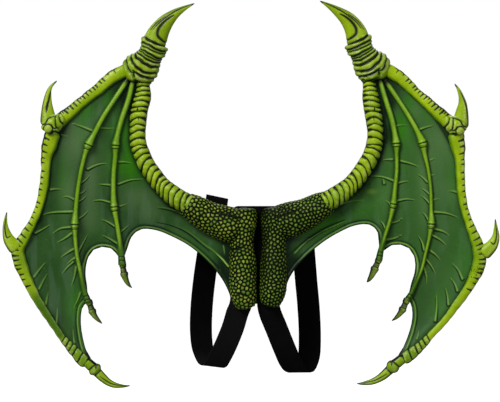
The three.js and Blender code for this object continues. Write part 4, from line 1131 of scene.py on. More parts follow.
def thumb_claw(wing):
    skin = tube(wing, THUMB_CLAW, THUMB_FORM)
    skin.grooves(THUMB_LINES)
    main = near_line(skin.flat, skin.body_line(THUMB_LINES[0]["places"]))[0]
    inside = skin.outward(0.5, -0.3)
    # Painted shade beside the main groove on its inner side, and painted highlights beside it and along the
    # outer edge
    skin.brush("wash_and_shade", 0.35 * hill(main, 8) * inside)
    skin.brush("pale", 0.6 * hill(main - 6, 1.6) * (1 - inside) * skin.onward(0.08, 0.3))
    skin.brush("pale", 0.7 * skin.side_band(0.86, 0.12) * skin.onward(0.6, 0.35))
    # A painted sheen in a darker olive over the outer side
    skin.brush("tint", 0.5 * skin.outward(0.35, 0.6) * skin.onward(0.35, 0.6))
    skin.brush("wash_and_shade", 0.95 * skin.onward(0.91, 0.97) + 0.95 * skin.share_band(0.02, 0.07))
    skin.brush("wash_and_shade", 0.5 * skin.outward(0.85, 1) * skin.onward(0.4, 0.6))
    return skin


def folds(skin, wing, rows, shift, tall, slope):
    """Grooves with puffed-up skin between them, painted highlights beside them and a darker green painted
    shade next to them.
    """
    lines = [wing.line(row["places"], shift) for row in rows]
    nearest = np.min([near_line(skin.flat, line)[0] for line in lines], axis=0)
    skin.lift += tall * (1 - hill(nearest, slope)) * skin.facing
    skin.brush("pale", hill(nearest - slope, 0.38 * slope) * skin.broken(-0.8, 0.3, size=14, seed=5))
    skin.brush("tint", 0.8 * hill(nearest, 0.9 * slope))
    for line, row in zip(lines, rows):
        skin.groove(line, row)


def wrist_cuff(wing):
    shift = WRIST_SHIFT[wing.name]
    skin = fan(wing, WRIST_SECTIONS, WRIST_FORM, shift)
    skin.flat = skin.flat + WRIST_RIPPLE * wobble(skin.places, size=14, seed=3)[..., None]
    folds(skin, wing, WRIST_GROOVES, shift, WRIST_PILLOW, WRIST_PILLOW_SLOPE)
    skin.brush("wash_and_shade", 0.9 * skin.onward(0.95, 1) + 0.4 * skin.sideward(0.8, 1))
    return skin


def arm(wing):
    skin = tube(wing, ARM, ARM_FORM)
    outer, middle, inner, wide = (np.array([row[key] for row in ARM_GROOVES]) for key in ARM_GROOVES[0])
    side = skin.side[..., None]
    bend = (outer + inner) / 2 - middle
    marks = (middle + (outer - inner) / 2 * side + bend * side ** 2) * skin.length
    along = skin.along + 0.5 * wobble(skin.places, size=16, seed=7)
    away = np.abs(along[..., None] - marks)
    distance = away.min(axis=-1)
    after = np.clip(np.sum(along[..., None] > marks, axis=-1), 1, len(middle) - 1)[..., None]
    start = np.take_along_axis(marks, after - 1, -1)[..., 0]
    end = np.take_along_axis(marks, after, -1)[..., 0]
    band = np.clip((along - start) / np.maximum(end - start, 1), 0, 1)
    round_band = np.sqrt(1 - (2 * band - 1) ** 2)
    inside = skin.inward(0.2, 1)
    rim = skin.inward(0.6, 0.95)
    lobe = (1 - hill(distance, ARM_RING_SLOPE)) * (1 - rim) + 0.6 * rim
    skin.lift += ARM_LOBE * lobe * np.clip(skin.facing + 0.3, 0, 1)
    skin.lift -= ARM_NECK * skin.share_band(0.07, 0.055) * skin.sideward(0.2, 0.9)
    uneven = 1.1 + 0.3 * wobble(skin.places, size=30, seed=43)
    opened = wide[away.argmin(axis=-1)] * uneven * (0.85 + 1.2 * inside + 0.3 * skin.outward(0.5, 1))
    skin.carve(hill(distance, opened), ARM_RING_DEPTH - 1.4 * rim)
    skin.grooves(ARM_CUTS)
    # A darker green painted shade towards the ends of each ring and on the outer side
    skin.brush("tint", 0.8 * smooth(0.7, 0.3, round_band) + 0.5 * skin.outward(0.5, 1))
    skin.brush("tint", 0.35 * skin.onward(0.66, 0.8))
    # Dark paint in the wide inner ends of the rings, and painted shade along the inner edge
    skin.brush("wash_and_shade", 0.8 * inside * smooth(0.8, 0.3, round_band) + 0.6 * skin.inward(0.85, 1))
    # Painted highlights on each ring
    skin.brush("pale", 0.7 * hill(band - 0.4, 0.25) * skin.broken(-0.5, 0.7, size=14, seed=9))
    skin.brush("wash_and_shade", 0.8 * skin.onward(0.985, 1) + 0.9 * skin.onward(0.035, 0))
    return skin


def notches(skin, rows, slant, dark):
    """Pointed cuts from a bone's outer edge inward, with painted highlights between them and both edges dark,
    the inner one as painted shade.
    """
    slanted = skin.along + slant * skin.half * (1 - skin.side)
    broken = skin.broken(-0.7, 0.5, size=22, seed=13)
    for row, after in zip(rows, rows[1:] + rows[-1:]):
        place = row["at"] * skin.length
        beside = (row["at"] + after["at"]) / 2 * skin.length
        depth = skin.outward(row["reach"], 1)
        cut = hill(slanted - place, row["wide"] * (0.9 + 0.9 * depth))
        skin.carve(cut * skin.outward(row["reach"] - 0.05, row["reach"] + 0.15), NOTCH_DEPTH - 0.7 * depth)
        gap = max(beside - place, 2)
        skin.brush("pale", 0.85 * broken * hill(slanted - beside, 0.6 * gap) * skin.outward(0.1, 0.6))
    skin.brush("wash_and_shade", dark * skin.outward(0.66, 0.92) * skin.broken(-0.9, 0.3, size=30, seed=19))
    # Painted shade: a darker green towards the inner edge and dark paint at it
    skin.brush("tint", 0.85 * skin.inward(0.5, 0.9))
    skin.brush("wash_and_shade", 0.4 * skin.inward(0.93, 1))


def lead_bone_upper(wing):
    skin = tube(wing, LEAD_BONE_UPPER, LEAD_FORM)
    skin.lift += UPPER_RIPPLE * wobble(skin.places, size=26, seed=11) * skin.facing
    notches(skin, UPPER_NOTCHES, 0.1, 0.75 + 0.25 * skin.onward(0.5, 0.75))
    skin.brush("wash_and_shade", 0.8 * skin.onward(0.05, 0))
    skin.brush("wash_and_shade", skin.onward(0.93, 0.98) * skin.outward(0.1, 0.6))
    return skin


def lead_bone_lower(wing):
    skin = tube(wing, LEAD_BONE_LOWER, LEAD_FORM)
    skin.lift += LOWER_RIPPLE * wobble(skin.places, size=26, seed=17) * skin.facing
    notches(skin, LOWER_NOTCHES, -0.15, 0.75 * skin.onward(0.16, 0.1) + 0.2 * skin.onward(0.64, 0.6))
    dulled = LEAD_DULLED[wing.name] * skin.onward(0.6, 0.7) * skin.onward(0.88, 0.85)
    skin.brush("tint", 0.95 * dulled)
    skin.brush("wash_and_shade", 0.36 * dulled)
    skin.brush("tint", 0.6 * skin.onward(0.85, 0.88) + 0.35 * skin.share_band(0.5, 0.12))
    speckled = LEAD_SPECKLED[wing.name] * skin.share_band(0.56, 0.05)
    skin.brush("wash_and_shade", speckled * skin.broken(0.6, 0.8, size=5, seed=53))
    skin.brush("pale", 0.5 * hill(np.abs(skin.side) - 0.8, 0.15) * skin.onward(0.6, 0.66))
    ribbed_tip(skin)
    return skin


def ribbed_tip(skin):
    """The ringed and swollen end of the lower lead bone."""
    slanted = skin.along - 0.3 * skin.half * skin.side
    ribbed = skin.onward(0.86, 0.875)
    rim = skin.outward(0.5, 0.9)
    shares = [row["at"] for row in LEAD_TIP_RINGS]
    nearest = np.min(np.abs(slanted[..., None] - np.array(shares) * skin.length), axis=-1)
    skin.lift += TIP_LOBE * ribbed * (1 - hill(nearest, TIP_LOBE_SLOPE) * (1 - rim)) * skin.facing
    skin.rings(LEAD_TIP_RINGS, shares, slanted, 1 - 0.8 * rim)
    # Painted highlights beside the rings
    skin.brush("pale", 0.8 * ribbed * hill(nearest - 4, 1.6) * skin.broken(-0.2, 0.8, size=10, seed=29))
    skin.brush("wash_and_shade", ribbed * (0.9 * skin.outward(0.7, 0.95) + 0.6 * skin.inward(0.75, 1)))


def elbow_knuckle(wing):
    shift = ELBOW_SHIFT[wing.name]
    skin = tube(wing, ELBOW, ELBOW_FORM)
    folds(skin, wing, ELBOW_GROOVES, shift, ELBOW_PILLOW, ELBOW_PILLOW_SLOPE)
    skin.lift -= ELBOW_SINK * skin.onward(0.45, 0.1) * skin.outward(0.2, 0.9)
    ball, size = ELBOW_BALL, ELBOW_BALL["size"]
    away = wing.from_patch(skin, ball["out"] + shift[0], ball["up"] + shift[1], size, size)
    skin.paint["wash_and_shade"] *= smooth(0.8, 1, away)
    skin.carve(hill(away - 1.05, 0.17), ELBOW_BALL_RING)
    skin.lift += ELBOW_BALL_HEIGHT * np.sqrt(np.clip(1 - away ** 2, 0, 1)) * skin.facing
    # A painted highlight on the ball
    skin.brush("pale", hill(away - 0.1, 0.55))
    return skin


def spur(wing, rows, lines, tuck):
    skin = tube(wing, rows, {**SPUR_FORM, "tuck": tuck})
    skin.grooves(lines)
    skin.brush("wash_and_shade", skin.onward(0.82, 1) + 0.6 * hill(skin.along + skin.tuck, 4))
    # A painted highlight along the claw
    skin.brush("pale", 0.8 * skin.side_band(0.45, 0.25) * skin.onward(0.95, 0.6))
    skin.brush("tint", skin.outward(0.6, 0.9))
    skin.brush("wash_and_shade", 0.5 * skin.sideward(0.75, 1) * skin.onward(0.1, 0.5))
    return skin


def spur_claw_upper(wing):
    return spur(wing, SPUR_UPPER, SPUR_UPPER_LINES[wing.name], SPUR_TUCK["upper"])


def spur_claw_lower(wing):
    return spur(wing, SPUR_LOWER, SPUR_LOWER_LINES, SPUR_TUCK["lower"])


def tip_knuckle(wing):
    skin = tube(wing, TIP_KNUCKLE, TIP_KNUCKLE_FORM)
    skin.grooves(TIP_KNUCKLE_LINES)
    skin.lift += TIP_BULGE * skin.share_band(0.72, 0.18) * skin.facing
    # A painted highlight on the bulge
    skin.brush("pale", 0.6 * skin.share_band(0.72, 0.12) * skin.outward(-0.3, 0.5))
    skin.brush("tint", 0.5)
    skin.brush("wash_and_shade", 0.8 * skin.sideward(0.65, 1) + skin.onward(0.92, 1))
    skin.brush("wash_and_shade", skin.inward(0.35, 0.7) * skin.onward(0.75, 0.5))
    return skin


def lead_tip_claw(wing):
    skin = tube(wing, TIP_CLAW, TIP_CLAW_FORM)
    skin.grooves(TIP_CLAW_LINES)
    skin.brush("wash_and_shade", 0.95 * skin.onward(0.86, 1) + 0.9 * skin.share_band(0.09, 0.03))
    skin.brush("wash_and_shade", 0.85 * skin.inward(0.55, 0.95))
    skin.brush("tint", skin.outward(0.5, 0.9) + skin.onward(0.6, 0.9))
    # A painted highlight along the claw
    skin.brush("pale", 0.7 * skin.side_band(0.25, 0.2) * skin.onward(0.9, 0.5))
    return skin


def finger(wing, rows, ring_rows):
    """A thin bone with two knobs, each between a pair of rings, and a third pair at its end."""
    skin = tube(wing, rows, FINGER_FORM)
    skin.lift -= FINGER_THINNER[wing.name] * skin.onward(0.36, 0.42) * skin.sideward(0, 0.7)
    shares = [wing.own(row, "at") for row in ring_rows]
    for share in shares[:4:2]:
        away = skin.along - share * skin.length
        above = FINGER_KNOB * hill(away + 2.6, 2.6)
        below = 0.8 * FINGER_KNOB * hill(away - 3.6, 2)
        skin.lift += (above + below) * skin.facing
    skin.rings(ring_rows, shares, skin.along)
    # A painted highlight along the bone, in broken patches that stop short of its end
    bare = skin.broken(-0.7, 0.5, size=60, seed=31) * skin.onward(0.93, 0.85)
    skin.brush("pale", 0.8 * skin.side_band(0.15, 0.3) * bare)
    skin.brush("tint", skin.sideward(0.4, 0.9) + 0.9 * skin.onward(0.83, 0.93))
    skin.brush("wash_and_shade", skin.onward(0.05, 0) + 0.45 * skin.sideward(0.8, 1))
    skin.brush("wash_and_shade", 0.8 * skin.inward(0.3, 0.8) * skin.onward(0.93, 0.97))
    return skin


def finger_2_bone(wing):
    return finger(wing, FINGER_2, FINGER_2_RINGS)


def finger_3_bone(wing):
    return finger(wing, FINGER_3, FINGER_3_RINGS)


def finger_claw(wing, rows, ring_rows):
    """A small claw that starts with a neck and a flared collar."""
    skin = tube(wing, rows, FINGER_CLAW_FORM)
    shares = [row["at"] for row in ring_rows]
    neck, collar = shares
    flare = hill(skin.share - collar - 0.07, 0.09)
    waist = hill(skin.share - (neck + collar) / 2, 0.1)
    skin.lift += (CLAW_FLARE * flare - CLAW_WAIST * waist) * np.clip(skin.facing + 0.2, 0, 1)
    skin.rings(ring_rows, shares, skin.along)
    skin.brush("wash_and_shade", 0.7 * skin.onward(0.7, 1) + 0.9 * skin.inward(0.15, 0.75) + 0.5 * waist)
    skin.brush("tint", 0.9)
    # A painted highlight along the claw
    skin.brush("pale", 0.45 * skin.side_band(0.4, 0.4) * skin.onward(0.9, 0.5))
    return skin


def finger_2_claw(wing):
    return finger_claw(wing, FINGER_2_CLAW, FINGER_2_CLAW_RINGS)


def finger_3_claw(wing):
    return finger_claw(wing, FINGER_3_CLAW, FINGER_3_CLAW_RINGS)


class Web:
    """The web's middle layer: three panels that hang between four rails."""

    rail_rows = (LEAD_BONE_UPPER[:-1] + LEAD_BONE_LOWER[1:], FINGER_2, FINGER_3, ARM[:-1] + BASE_EDGE)
    rail_widths = (LEAD_BONE_WIDTH, FINGER_WIDTH, FINGER_WIDTH, ARM_WIDTH)

    def __init__(self, wing):
        self.rails = [Route(wing.bone(rows)) for rows in self.rail_rows]
        self.hems = []
        for i, rows in enumerate((OUTER_HEM, MIDDLE_HEM, INNER_HEM)):
            depths = np.linspace(self.rails[i].at(1)[1], self.rails[i + 1].at(1)[1], len(rows))
            self.hems.append(Route(wing.places(rows, depths)))

    def panel(self, i, share, down):
        """Places of one panel at shares across it and shares down from the wrist to the hem."""
        share = share[None, :, None]
        outer = self.rails[i].at(down)[:, None]
        inner = self.rails[i + 1].at(down)[:, None]
        corner = self.rails[i].at(1) * (1 - share) + self.rails[i + 1].at(1) * share
        pull = (self.hems[i].at(share[0, :, 0])[None] - corner) * (down ** HEM_PULL)[:, None, None]
        sag = WEB_SAG * length_of(outer - inner)[..., None] * np.sin(math.pi * share)
        return outer * (1 - share) + inner * share + pull + sag * BACKWARD

    def grid(self):
        down = np.linspace(0, 1, WEB_ROWS)
        panels = [self.panel(i, np.linspace(0, 1, count + 1), down) for i, count in enumerate(WEB_COLUMNS)]
        return np.concatenate([panels[0], panels[1][:, 1:], panels[2][:, 1:]], axis=1)

    def half_width(self, i, share):
        halves = [row.get("wide", BASE_EDGE_WIDE) * self.rail_widths[i] / 2 for row in self.rail_rows[i]]
        return self.rails[i].value(halves, share)


def membrane_skin(wing):
    """The painted face of the web, with its veins, hem and shading, and the bare face behind it."""
    web = Web(wing)
    middle = web.grid()
    normals = unit(np.cross(np.gradient(middle, axis=1), np.gradient(middle, axis=0)))
    normals = np.where(normals[..., 1:2] > 0, -normals, normals)
    skin = Skin(middle + normals * WEB_THICKNESS / 2, normals)
    skin.facing = np.ones(skin.lift.shape)
    skin.back = middle - normals * WEB_THICKNESS / 2
    shade_by_bones(skin, web)
    shade_by_hem(skin, web)
    skin.paint["bright"] = np.zeros(skin.lift.shape)
    # Soft patches: the pale ones are painted sheen, the dark ones painted shade
    for row in WEB_PATCHES:
        away = wing.from_patch(skin, row["out"], row["up"], row["across"], row["tall"])
        skin.paint[row["paint"]] += row[wing.name] * hill(away, 1)
    bones = [rail.line(RAIL_POINTS) for rail in web.rails]
    for row in wing.veins:
        line = wing.line(row["places"])
        root, tip = (min(near_line(line[end], bone)[0] for bone in bones) for end in (0, -1))
        vein(skin, line if root < tip else line[::-1], row["wide"], row["deep"])
    for row in wing.creases:
        skin.groove(wing.line(row["places"]), row)
    return skin


def shade_by_bones(skin, web):
    for i, rail in enumerate(web.rails):
        distance, share = near_line(skin.flat, rail.line(RAIL_POINTS))
        beyond = np.maximum(distance - web.half_width(i, share), 0)
        skin.brush("wash_and_shade", BONE_SHADE[i] * hill(beyond, BONE_SHADE_REACH[i]))
        skin.brush("wash_and_shade", BONE_LINE * hill(beyond, BONE_LINE_WIDTH))
        skin.lift -= BONE_HOLLOW * hill(beyond, BONE_HOLLOW_REACH)
    wrist = web.rails[2].at(0.02)[[0, 2]]
    skin.brush("wash_and_shade", WRIST_SHADE * hill(length_of(skin.flat - wrist), WRIST_SHADE_REACH))


def shade_by_hem(skin, web):
    for route, light, inset in zip(web.hems, HEM_LIGHT, HEM_INSET):
        hem = near_line(skin.flat, route.line(HEM_POINTS))[0]
        skin.lift += HEM_ROLL * hill(hem - inset, 1.5)
        skin.lift -= HEM_GROOVE * hill(hem - inset - 4, 2)
        skin.brush("tint", light * hill(hem - inset, 1.3))
        skin.brush("wash_and_shade", 0.95 * hill(hem, 1.7))
        skin.brush("wash_and_shade", 0.75 * hill(hem - inset - 3.4, 1.8))


def vein(skin, line, wide, tall):
    """A ridge that starts at a bone and thins to nothing, with a shade along its lower side."""
    distance, share = skin.near(line, VEIN_REACH * wide)
    steps = np.linspace(0, 1, len(line))
    lower = smooth(0.4, -0.4, skin.flat[..., 1] - np.interp(share, steps, line[:, 1]))
    thin = VEIN_END + (1 - VEIN_END) * (1 - share) ** 0.6
    ridge = hill(distance, VEIN_RIDGE * wide * thin) * smooth(0, 0.15, 1 - share)
    beside = hill(distance - VEIN_SHADE_PLACE * wide * thin, VEIN_SHADE_WIDTH * wide * thin)
    shade = beside * (VEIN_UPPER_SHADE + (1 - VEIN_UPPER_SHADE) * lower) * smooth(0, 0.2, 1 - share)
    skin.lift += tall * (thin * ridge - 0.4 * shade)
    skin.brush("tint", 0.9 * tall * ridge * (0.5 + 0.5 * thin))
    skin.paint["wash_and_shade"] *= 1 - ridge
    skin.brush("wash_and_shade", shade * min(1.1 * tall, 1))


def membrane_mesh(skin):
    """The web's painted face at full detail, joined round its edge to a plainer back."""
    face = skin.raised()
    index = numbered(face)
    step = WEB_BACK_STEP
    back = skin.back[::step, ::step]
    behind = numbered(back, index.size)
    faces = quads(index) + [corners[::-1] for corners in quads(behind)]
    for edge, rear, turned in ((index[0], behind[0], False), (index[-1], behind[-1], True),
                               (index[:, 0], behind[:, 0], True), (index[:, -1], behind[:, -1], False)):
        for k in range(len(rear) - 1):
            rim = [int(n) for n in (*edge[step * k:step * (k + 1) + 1], rear[k + 1], rear[k])]
            faces.append(tuple(rim[::-1] if turned else rim))
    points = np.vstack([face.reshape(-1, 3), back.reshape(-1, 3)])
    paint = {key: np.concatenate([value.ravel(), 0.5 * value[::step, ::step].ravel()])
             for key, value in skin.paint.items()}
    return make_mesh(points, faces, paint)


def melted_lobes(wing):
    """The shoulder and the base as one smooth mesh."""
    points, faces = [], []
    for rows, form in ((SHOULDER, SHOULDER_FORM), (BASE, BASE_FORM)):
        lobe = tube_mesh(tube(wing, rows, form))
        faces += [tuple(n + len(points) for n in face.vertices) for face in lobe.polygons]
        points += [tuple(vertex.co) for vertex in lobe.vertices]
    both = bpy.data.meshes.new("lobes")
    both.from_pydata(points, [], faces)
    joined = add_object("lobes", both)
    remesh = joined.modifiers.new("melt", "REMESH")
    remesh.mode = "VOXEL"
    remesh.voxel_size = BASE_STEP * MM
    soften = joined.modifiers.new("soften", "SMOOTH")
    soften.factor = 0.5
    soften.iterations = BASE_SOFTENING
    melted = bpy.data.meshes.new_from_object(joined.evaluated_get(bpy.context.evaluated_depsgraph_get()))
    bpy.data.objects.remove(joined)
    return melted


def scaled_base_mesh(wing):
    """Two lobes melted into one and covered in pebble scales."""
    melted = melted_lobes(wing)
    skin = Skin(read_vertices(melted, "co") / MM, read_vertices(melted, "normal"))
    scales(skin, SCALE_SPACING[wing.name], SCALE_SHADE_GREEN[wing.name])
    # Painted shade in soft dark patches, and painted light where a patch's number is below zero
    for row in BASE_SHADES:
        away = wing.from_patch(skin, wing.own(row, "out"), wing.own(row, "up"), row["across"], row["tall"])
        skin.paint["wash_and_shade"] += row[wing.name] * hill(away, 1) * skin.facing
    for row in BASE_CREASES[wing.name]:
        skin.groove(wing.line(row["places"]), row)
    points = skin.raised()
    points[:, 1] = np.minimum(points[:, 1], BASE_BACK)
    return make_mesh(points, [tuple(face.vertices) for face in melted.polygons], skin.paint)


def scales(skin, spacing, green):
    """Pebble scales of about the same size, spread evenly over a skin."""
    random = np.random.default_rng(41)
    places = skin.places
    seeds = []
    for n in random.permutation(len(places)):
        if not seeds or np.min(length_of(places[seeds] - places[n])) > spacing * SCALE_PACKING:
            seeds.append(n)
    centres = places[seeds]
    for _ in range(SCALE_EVENING_ROUNDS):
        tree = tree_of(centres)
        owner = np.array([tree.find(place)[1] for place in places])
        count = np.maximum(np.bincount(owner, minlength=len(centres)), 1)
        centres = np.stack([np.bincount(owner, places[:, k], len(centres)) / count for k in range(3)], axis=1)
    tree = tree_of(centres)
    found = [tree.find_n(place, 2) for place in places]
    owner = np.array([nearest[1] for nearest, _ in found])
    inside = np.array([second[2] - nearest[2] for nearest, second in found])
    rise = smooth(0, SCALE_ROUNDING * spacing, inside)
    skin.lift += SCALE_HEIGHT * (np.sqrt(rise) - SCALE_SINK) * skin.facing
    tone = random.uniform(0, 1, len(centres))[owner]
    broken = inside / spacing + 0.07 * wobble(places, size=5, seed=47)
    # Dark paint in the gaps, and a painted highlight on each scale's top, weaker where green sets painted
    # shade
    skin.brush("wash_and_shade", SCALE_GAP_WASH * smooth(*SCALE_GAP, broken))
    skin.brush("pale", (0.2 + 0.8 * tone) * (1 - 0.4 * green) * smooth(*SCALE_TOP, broken))
    # A darker green that differs from scale to scale, and over the whole base as painted shade where green is
    # set
    skin.brush("tint", np.maximum(1 - tone, green))


def tree_of(places):
    tree = KDTree(len(places))
    for i, place in enumerate(places):
        tree.insert(Vector(place), i)
    tree.balance()
    return tree


def strap_mesh(wing):
    """A flat elastic band, from its lower sewn end round the loop to its upper one, and its length."""
    route = Route(wing.places(STRAP, [STRAP_LAYER + row["back"] * STRAP_REACH for row in STRAP]))
    share = np.linspace(0, 1, int(route.length / STRAP_STEP) + 1)
    middle = route.at(share)
    middle[:, 1] = np.maximum(middle[:, 1], STRAP_LAYER)
    tilt = np.radians(route.value([wing.own(row, "tilt") for row in STRAP], share))
    across = np.stack([wing.sign * np.cos(tilt), np.zeros_like(tilt), np.sin(tilt)], axis=-1)
    normal = unit(np.cross(across, route.ahead(share)))
    spread = np.linspace(-1, 1, STRAP_COLUMNS)
    full = np.minimum(1, (1 - np.abs(spread)) / STRAP_BEVEL + STRAP_EDGE)
    side = np.concatenate([spread, spread[::-1]]) * STRAP_WIDTH / 2
    thick = np.concatenate([full, -full[::-1]]) * STRAP_THICKNESS / 2
    places = middle[:, None] + across[:, None] * side[None, :, None] + normal[:, None] * thick[None, :, None]
    index = numbered(places)
    ends = [tuple(index[0].tolist()), tuple(index[-1][::-1].tolist())]
    # Painted light on the front leg of the loop, fading out along it
    front_light = STRAP_FRONT_LIGHT[wing.name] * smooth(*STRAP_FRONT_LIGHT_END, share)
    paint = {"run": np.repeat(share * route.length, len(side)), "side": np.tile(side, len(share)),
             "front_light": np.repeat(front_light, len(side))}
    return make_mesh(places.reshape(-1, 3), quads(index, True) + ends, paint), route.length


def back_panel_mesh():
    """A padded black slab with rounded corners and a bound edge."""
    columns, rows = int(PANEL_WIDTH / PANEL_STEP) + 1, int(PANEL_HEIGHT / PANEL_STEP) + 1
    half = np.array([PANEL_WIDTH, PANEL_HEIGHT]) / 2
    square = np.stack(np.meshgrid(np.linspace(-1, 1, columns), np.linspace(-1, 1, rows)), axis=-1) * half
    corner = np.maximum(np.abs(square) - (half - PANEL_CORNER), 0)
    reach = np.maximum(length_of(corner)[..., None], TINY)
    rounded = np.sign(square) * (half - PANEL_CORNER + corner * corner.max(axis=-1, keepdims=True) / reach)
    place = np.where(np.all(corner > 0, axis=-1, keepdims=True), rounded, square)
    from_edge = np.min(half - np.abs(square), axis=-1)
    seam = PANEL_SEAM_DEPTH * hill(from_edge - PANEL_BINDING, PANEL_SEAM_WIDTH)
    proud = np.minimum(1, PANEL_EDGE + from_edge / PANEL_BEVEL) - seam
    layers = [np.stack([place[..., 0], depth, place[..., 1]], axis=-1).reshape(-1, 3)
              for depth in (-PANEL_THICKNESS * proud, np.zeros_like(proud))]
    index = numbered(place)
    behind = numbered(place, index.size)
    faces = quads(index) + [corners[::-1] for corners in quads(behind)]
    border = np.concatenate([index[0, :-1], index[:-1, -1], index[-1, :0:-1], index[:0:-1, 0]])
    for a, b in zip(border.tolist(), np.roll(border, -1).tolist()):
        faces.append((b, a, a + index.size, b + index.size))
    points = np.concatenate(layers)
    return make_mesh(points, faces, {"run": points[:, 2], "side": points[:, 0]})


def srgb(red, green, blue):
    """A colour given as on a screen, as the linear one that nodes take."""
    channels = [value / 255 for value in (red, green, blue)]
    return tuple(c / 12.92 if c <= 0.04045 else ((c + 0.055) / 1.055) ** 2.4 for c in channels) + (1,)


class Nodes:
    """A node tree, built one node at a time."""

    def __init__(self, tree):
        self.tree = tree

    def feed(self, node, inputs):
        for socket, value in inputs.items():
            if isinstance(value, bpy.types.NodeSocket):
                self.tree.links.new(value, node.inputs[socket])
            else:
                node.inputs[socket].default_value = value

    def add(self, kind, output, inputs, **settings):
        """A new node with these settings and inputs, as one of its outputs."""
        node = self.tree.nodes.new("ShaderNode" + kind)
        for name, value in settings.items():
            setattr(node, name, value)
        self.feed(node, inputs)
        return node.outputs[output]

    def math(self, operation, first, second=0.0):
        return self.add("Math", 0, {0: first, 1: second}, operation=operation)

    def between(self, value, low, high, start=0.0, end=1.0):
        """start where the value is low, end where it is high and an easy slope between."""
        inputs = {"Value": value, "From Min": low, "From Max": high, "To Min": start, "To Max": end}
        return self.add("MapRange", 0, inputs, interpolation_type="SMOOTHSTEP")


class Paint(Nodes):
    """The nodes of a material."""

    def __init__(self, name, **settings):
        self.material = bpy.data.materials.new(name)
        self.material.use_nodes = True
        super().__init__(self.material.node_tree)
        self.shader = self.tree.nodes["Principled BSDF"]
        self.feed(self.shader, {socket.replace("_", " "): value for socket, value in settings.items()})
        self.place = self.add("TexCoord", "Object", {})

    def attribute(self, name):
        return self.add("Attribute", "Fac", {}, attribute_name=name)

    def spots(self, size, detail=3, roughness=0.5):
        """Cloudy noise whose patches are about this many millimetres wide."""
        inputs = {"Vector": self.place, "Scale": 1 / (size * MM), "Detail": detail, "Roughness": roughness}
        return self.add("TexNoise", "Fac", inputs)

    def streaks(self, size, long):
        """Noise drawn out upright, its patches this wide and this many times as long."""
        stretched = self.add("Mapping", 0, {"Vector": self.place, "Scale": (1, 1, 1 / long)})
        return self.add("TexNoise", "Fac", {"Vector": stretched, "Scale": 1 / (size * MM)})

    def pores(self, size, deep):
        """Fine relief of small cells."""
        cells = self.add("TexVoronoi", "Distance", {"Vector": self.place, "Scale": 1 / (size * MM)})
        return self.bump(cells, deep)

    def mix(self, share, under, over):
        """A share of a screen colour laid over a colour."""
        under = srgb(*under) if isinstance(under, tuple) else under
        return self.add("Mix", 2, {0: share, 6: under, 7: srgb(*over)}, data_type="RGBA")

    def ragged(self, spots, amount):
        """The strength of the dark paint, which also holds painted shade, with an uneven edge."""
        return self.math("ADD", self.attribute("wash_and_shade"), self.math("MULTIPLY", spots, amount))

    def rough(self, spots, amount, least):
        return self.math("ADD", self.math("MULTIPLY", spots, amount), least)

    def bump(self, height, deep, **under):
        """Fine relief this many millimetres deep, over what is under it."""
        return self.add("Bump", 0, {"Height": height, "Distance": deep * MM, **under})

    def finish(self, colour, roughness, normal):
        self.feed(self.shader, {"Base Color": colour, "Roughness": roughness, "Normal": normal})
        return self.material


def painted_latex(slot, base, light, deep, pale, tint, wash_and_shade, shine):
    """Moulded latex: cloudy airbrushed colour, dry-brushed paint and painted highlights, painted shade, and
    dark paint in the hollows.
    """
    paint = Paint(slot, Coat_Weight=0.2 * shine, Coat_Roughness=0.2, Specular_IOR_Level=shine)
    cloud = paint.between(paint.spots(size=38), low=0.35, high=0.68)
    colour = paint.mix(cloud, base, light)
    speckle = paint.between(paint.spots(size=3.2, detail=5, roughness=0.65), low=0.52, high=0.75, end=0.5)
    colour = paint.mix(speckle, colour, deep)
    colour = paint.mix(paint.attribute("tint"), colour, tint)
    broken = paint.between(paint.spots(size=4.5, detail=4, roughness=0.6), low=0.3, high=0.62)
    colour = paint.mix(paint.math("MULTIPLY", paint.attribute("pale"), broken), colour, pale)
    ragged = paint.ragged(paint.spots(size=2.6, detail=4, roughness=0.6), amount=0.34)
    colour = paint.mix(paint.between(ragged, low=0.3, high=1.05), colour, wash_and_shade)
    pores = paint.pores(size=1.4, deep=0.05)
    skin = paint.bump(paint.spots(size=5, detail=6, roughness=0.6), deep=0.35, Normal=pores)
    return paint.finish(colour, paint.rough(paint.spots(size=9, detail=4), amount=0.22, least=0.25), skin)


def web_latex():
    """Thin latex in a deep green, with a grey sheen, brighter patches and dark shading by the bones."""
    paint = Paint("web_latex", Coat_Weight=0.02, Coat_Roughness=0.25, Specular_IOR_Level=0.12)
    cloud = paint.between(paint.spots(size=60, detail=4), low=0.35, high=0.7)
    colour = paint.mix(cloud, WEB_COLOURS["base"], WEB_COLOURS["light"])
    sheen = paint.between(paint.streaks(size=22, long=5), low=0.5, high=0.64, end=0.6)
    colour = paint.mix(sheen, colour, WEB_COLOURS["sheen"])
    # Paint from the mesh: the pale patches are painted sheen, the bright and tint ones the web's own colour
    for layer in ("pale", "bright", "tint"):
        colour = paint.mix(paint.attribute(layer), colour, WEB_COLOURS[layer])
    # Dark paint, mostly painted shade by the bones, hem, wrist and veins
    ragged = paint.ragged(paint.spots(size=12, detail=4), amount=0.2)
    colour = paint.mix(paint.between(ragged, low=0.1, high=1.1), colour, WEB_COLOURS["wash_and_shade"])
    flecks = paint.between(paint.spots(size=2.4, detail=2), low=0.71, high=0.77, end=0.55)
    colour = paint.mix(flecks, colour, WEB_COLOURS["fleck"])
    pores = paint.pores(size=1.8, deep=0.04)
    skin = paint.bump(paint.spots(size=9, detail=6, roughness=0.6), deep=0.5, Normal=pores)
    return paint.finish(colour, paint.rough(paint.spots(size=14, detail=4), amount=0.2, least=0.32), skin)


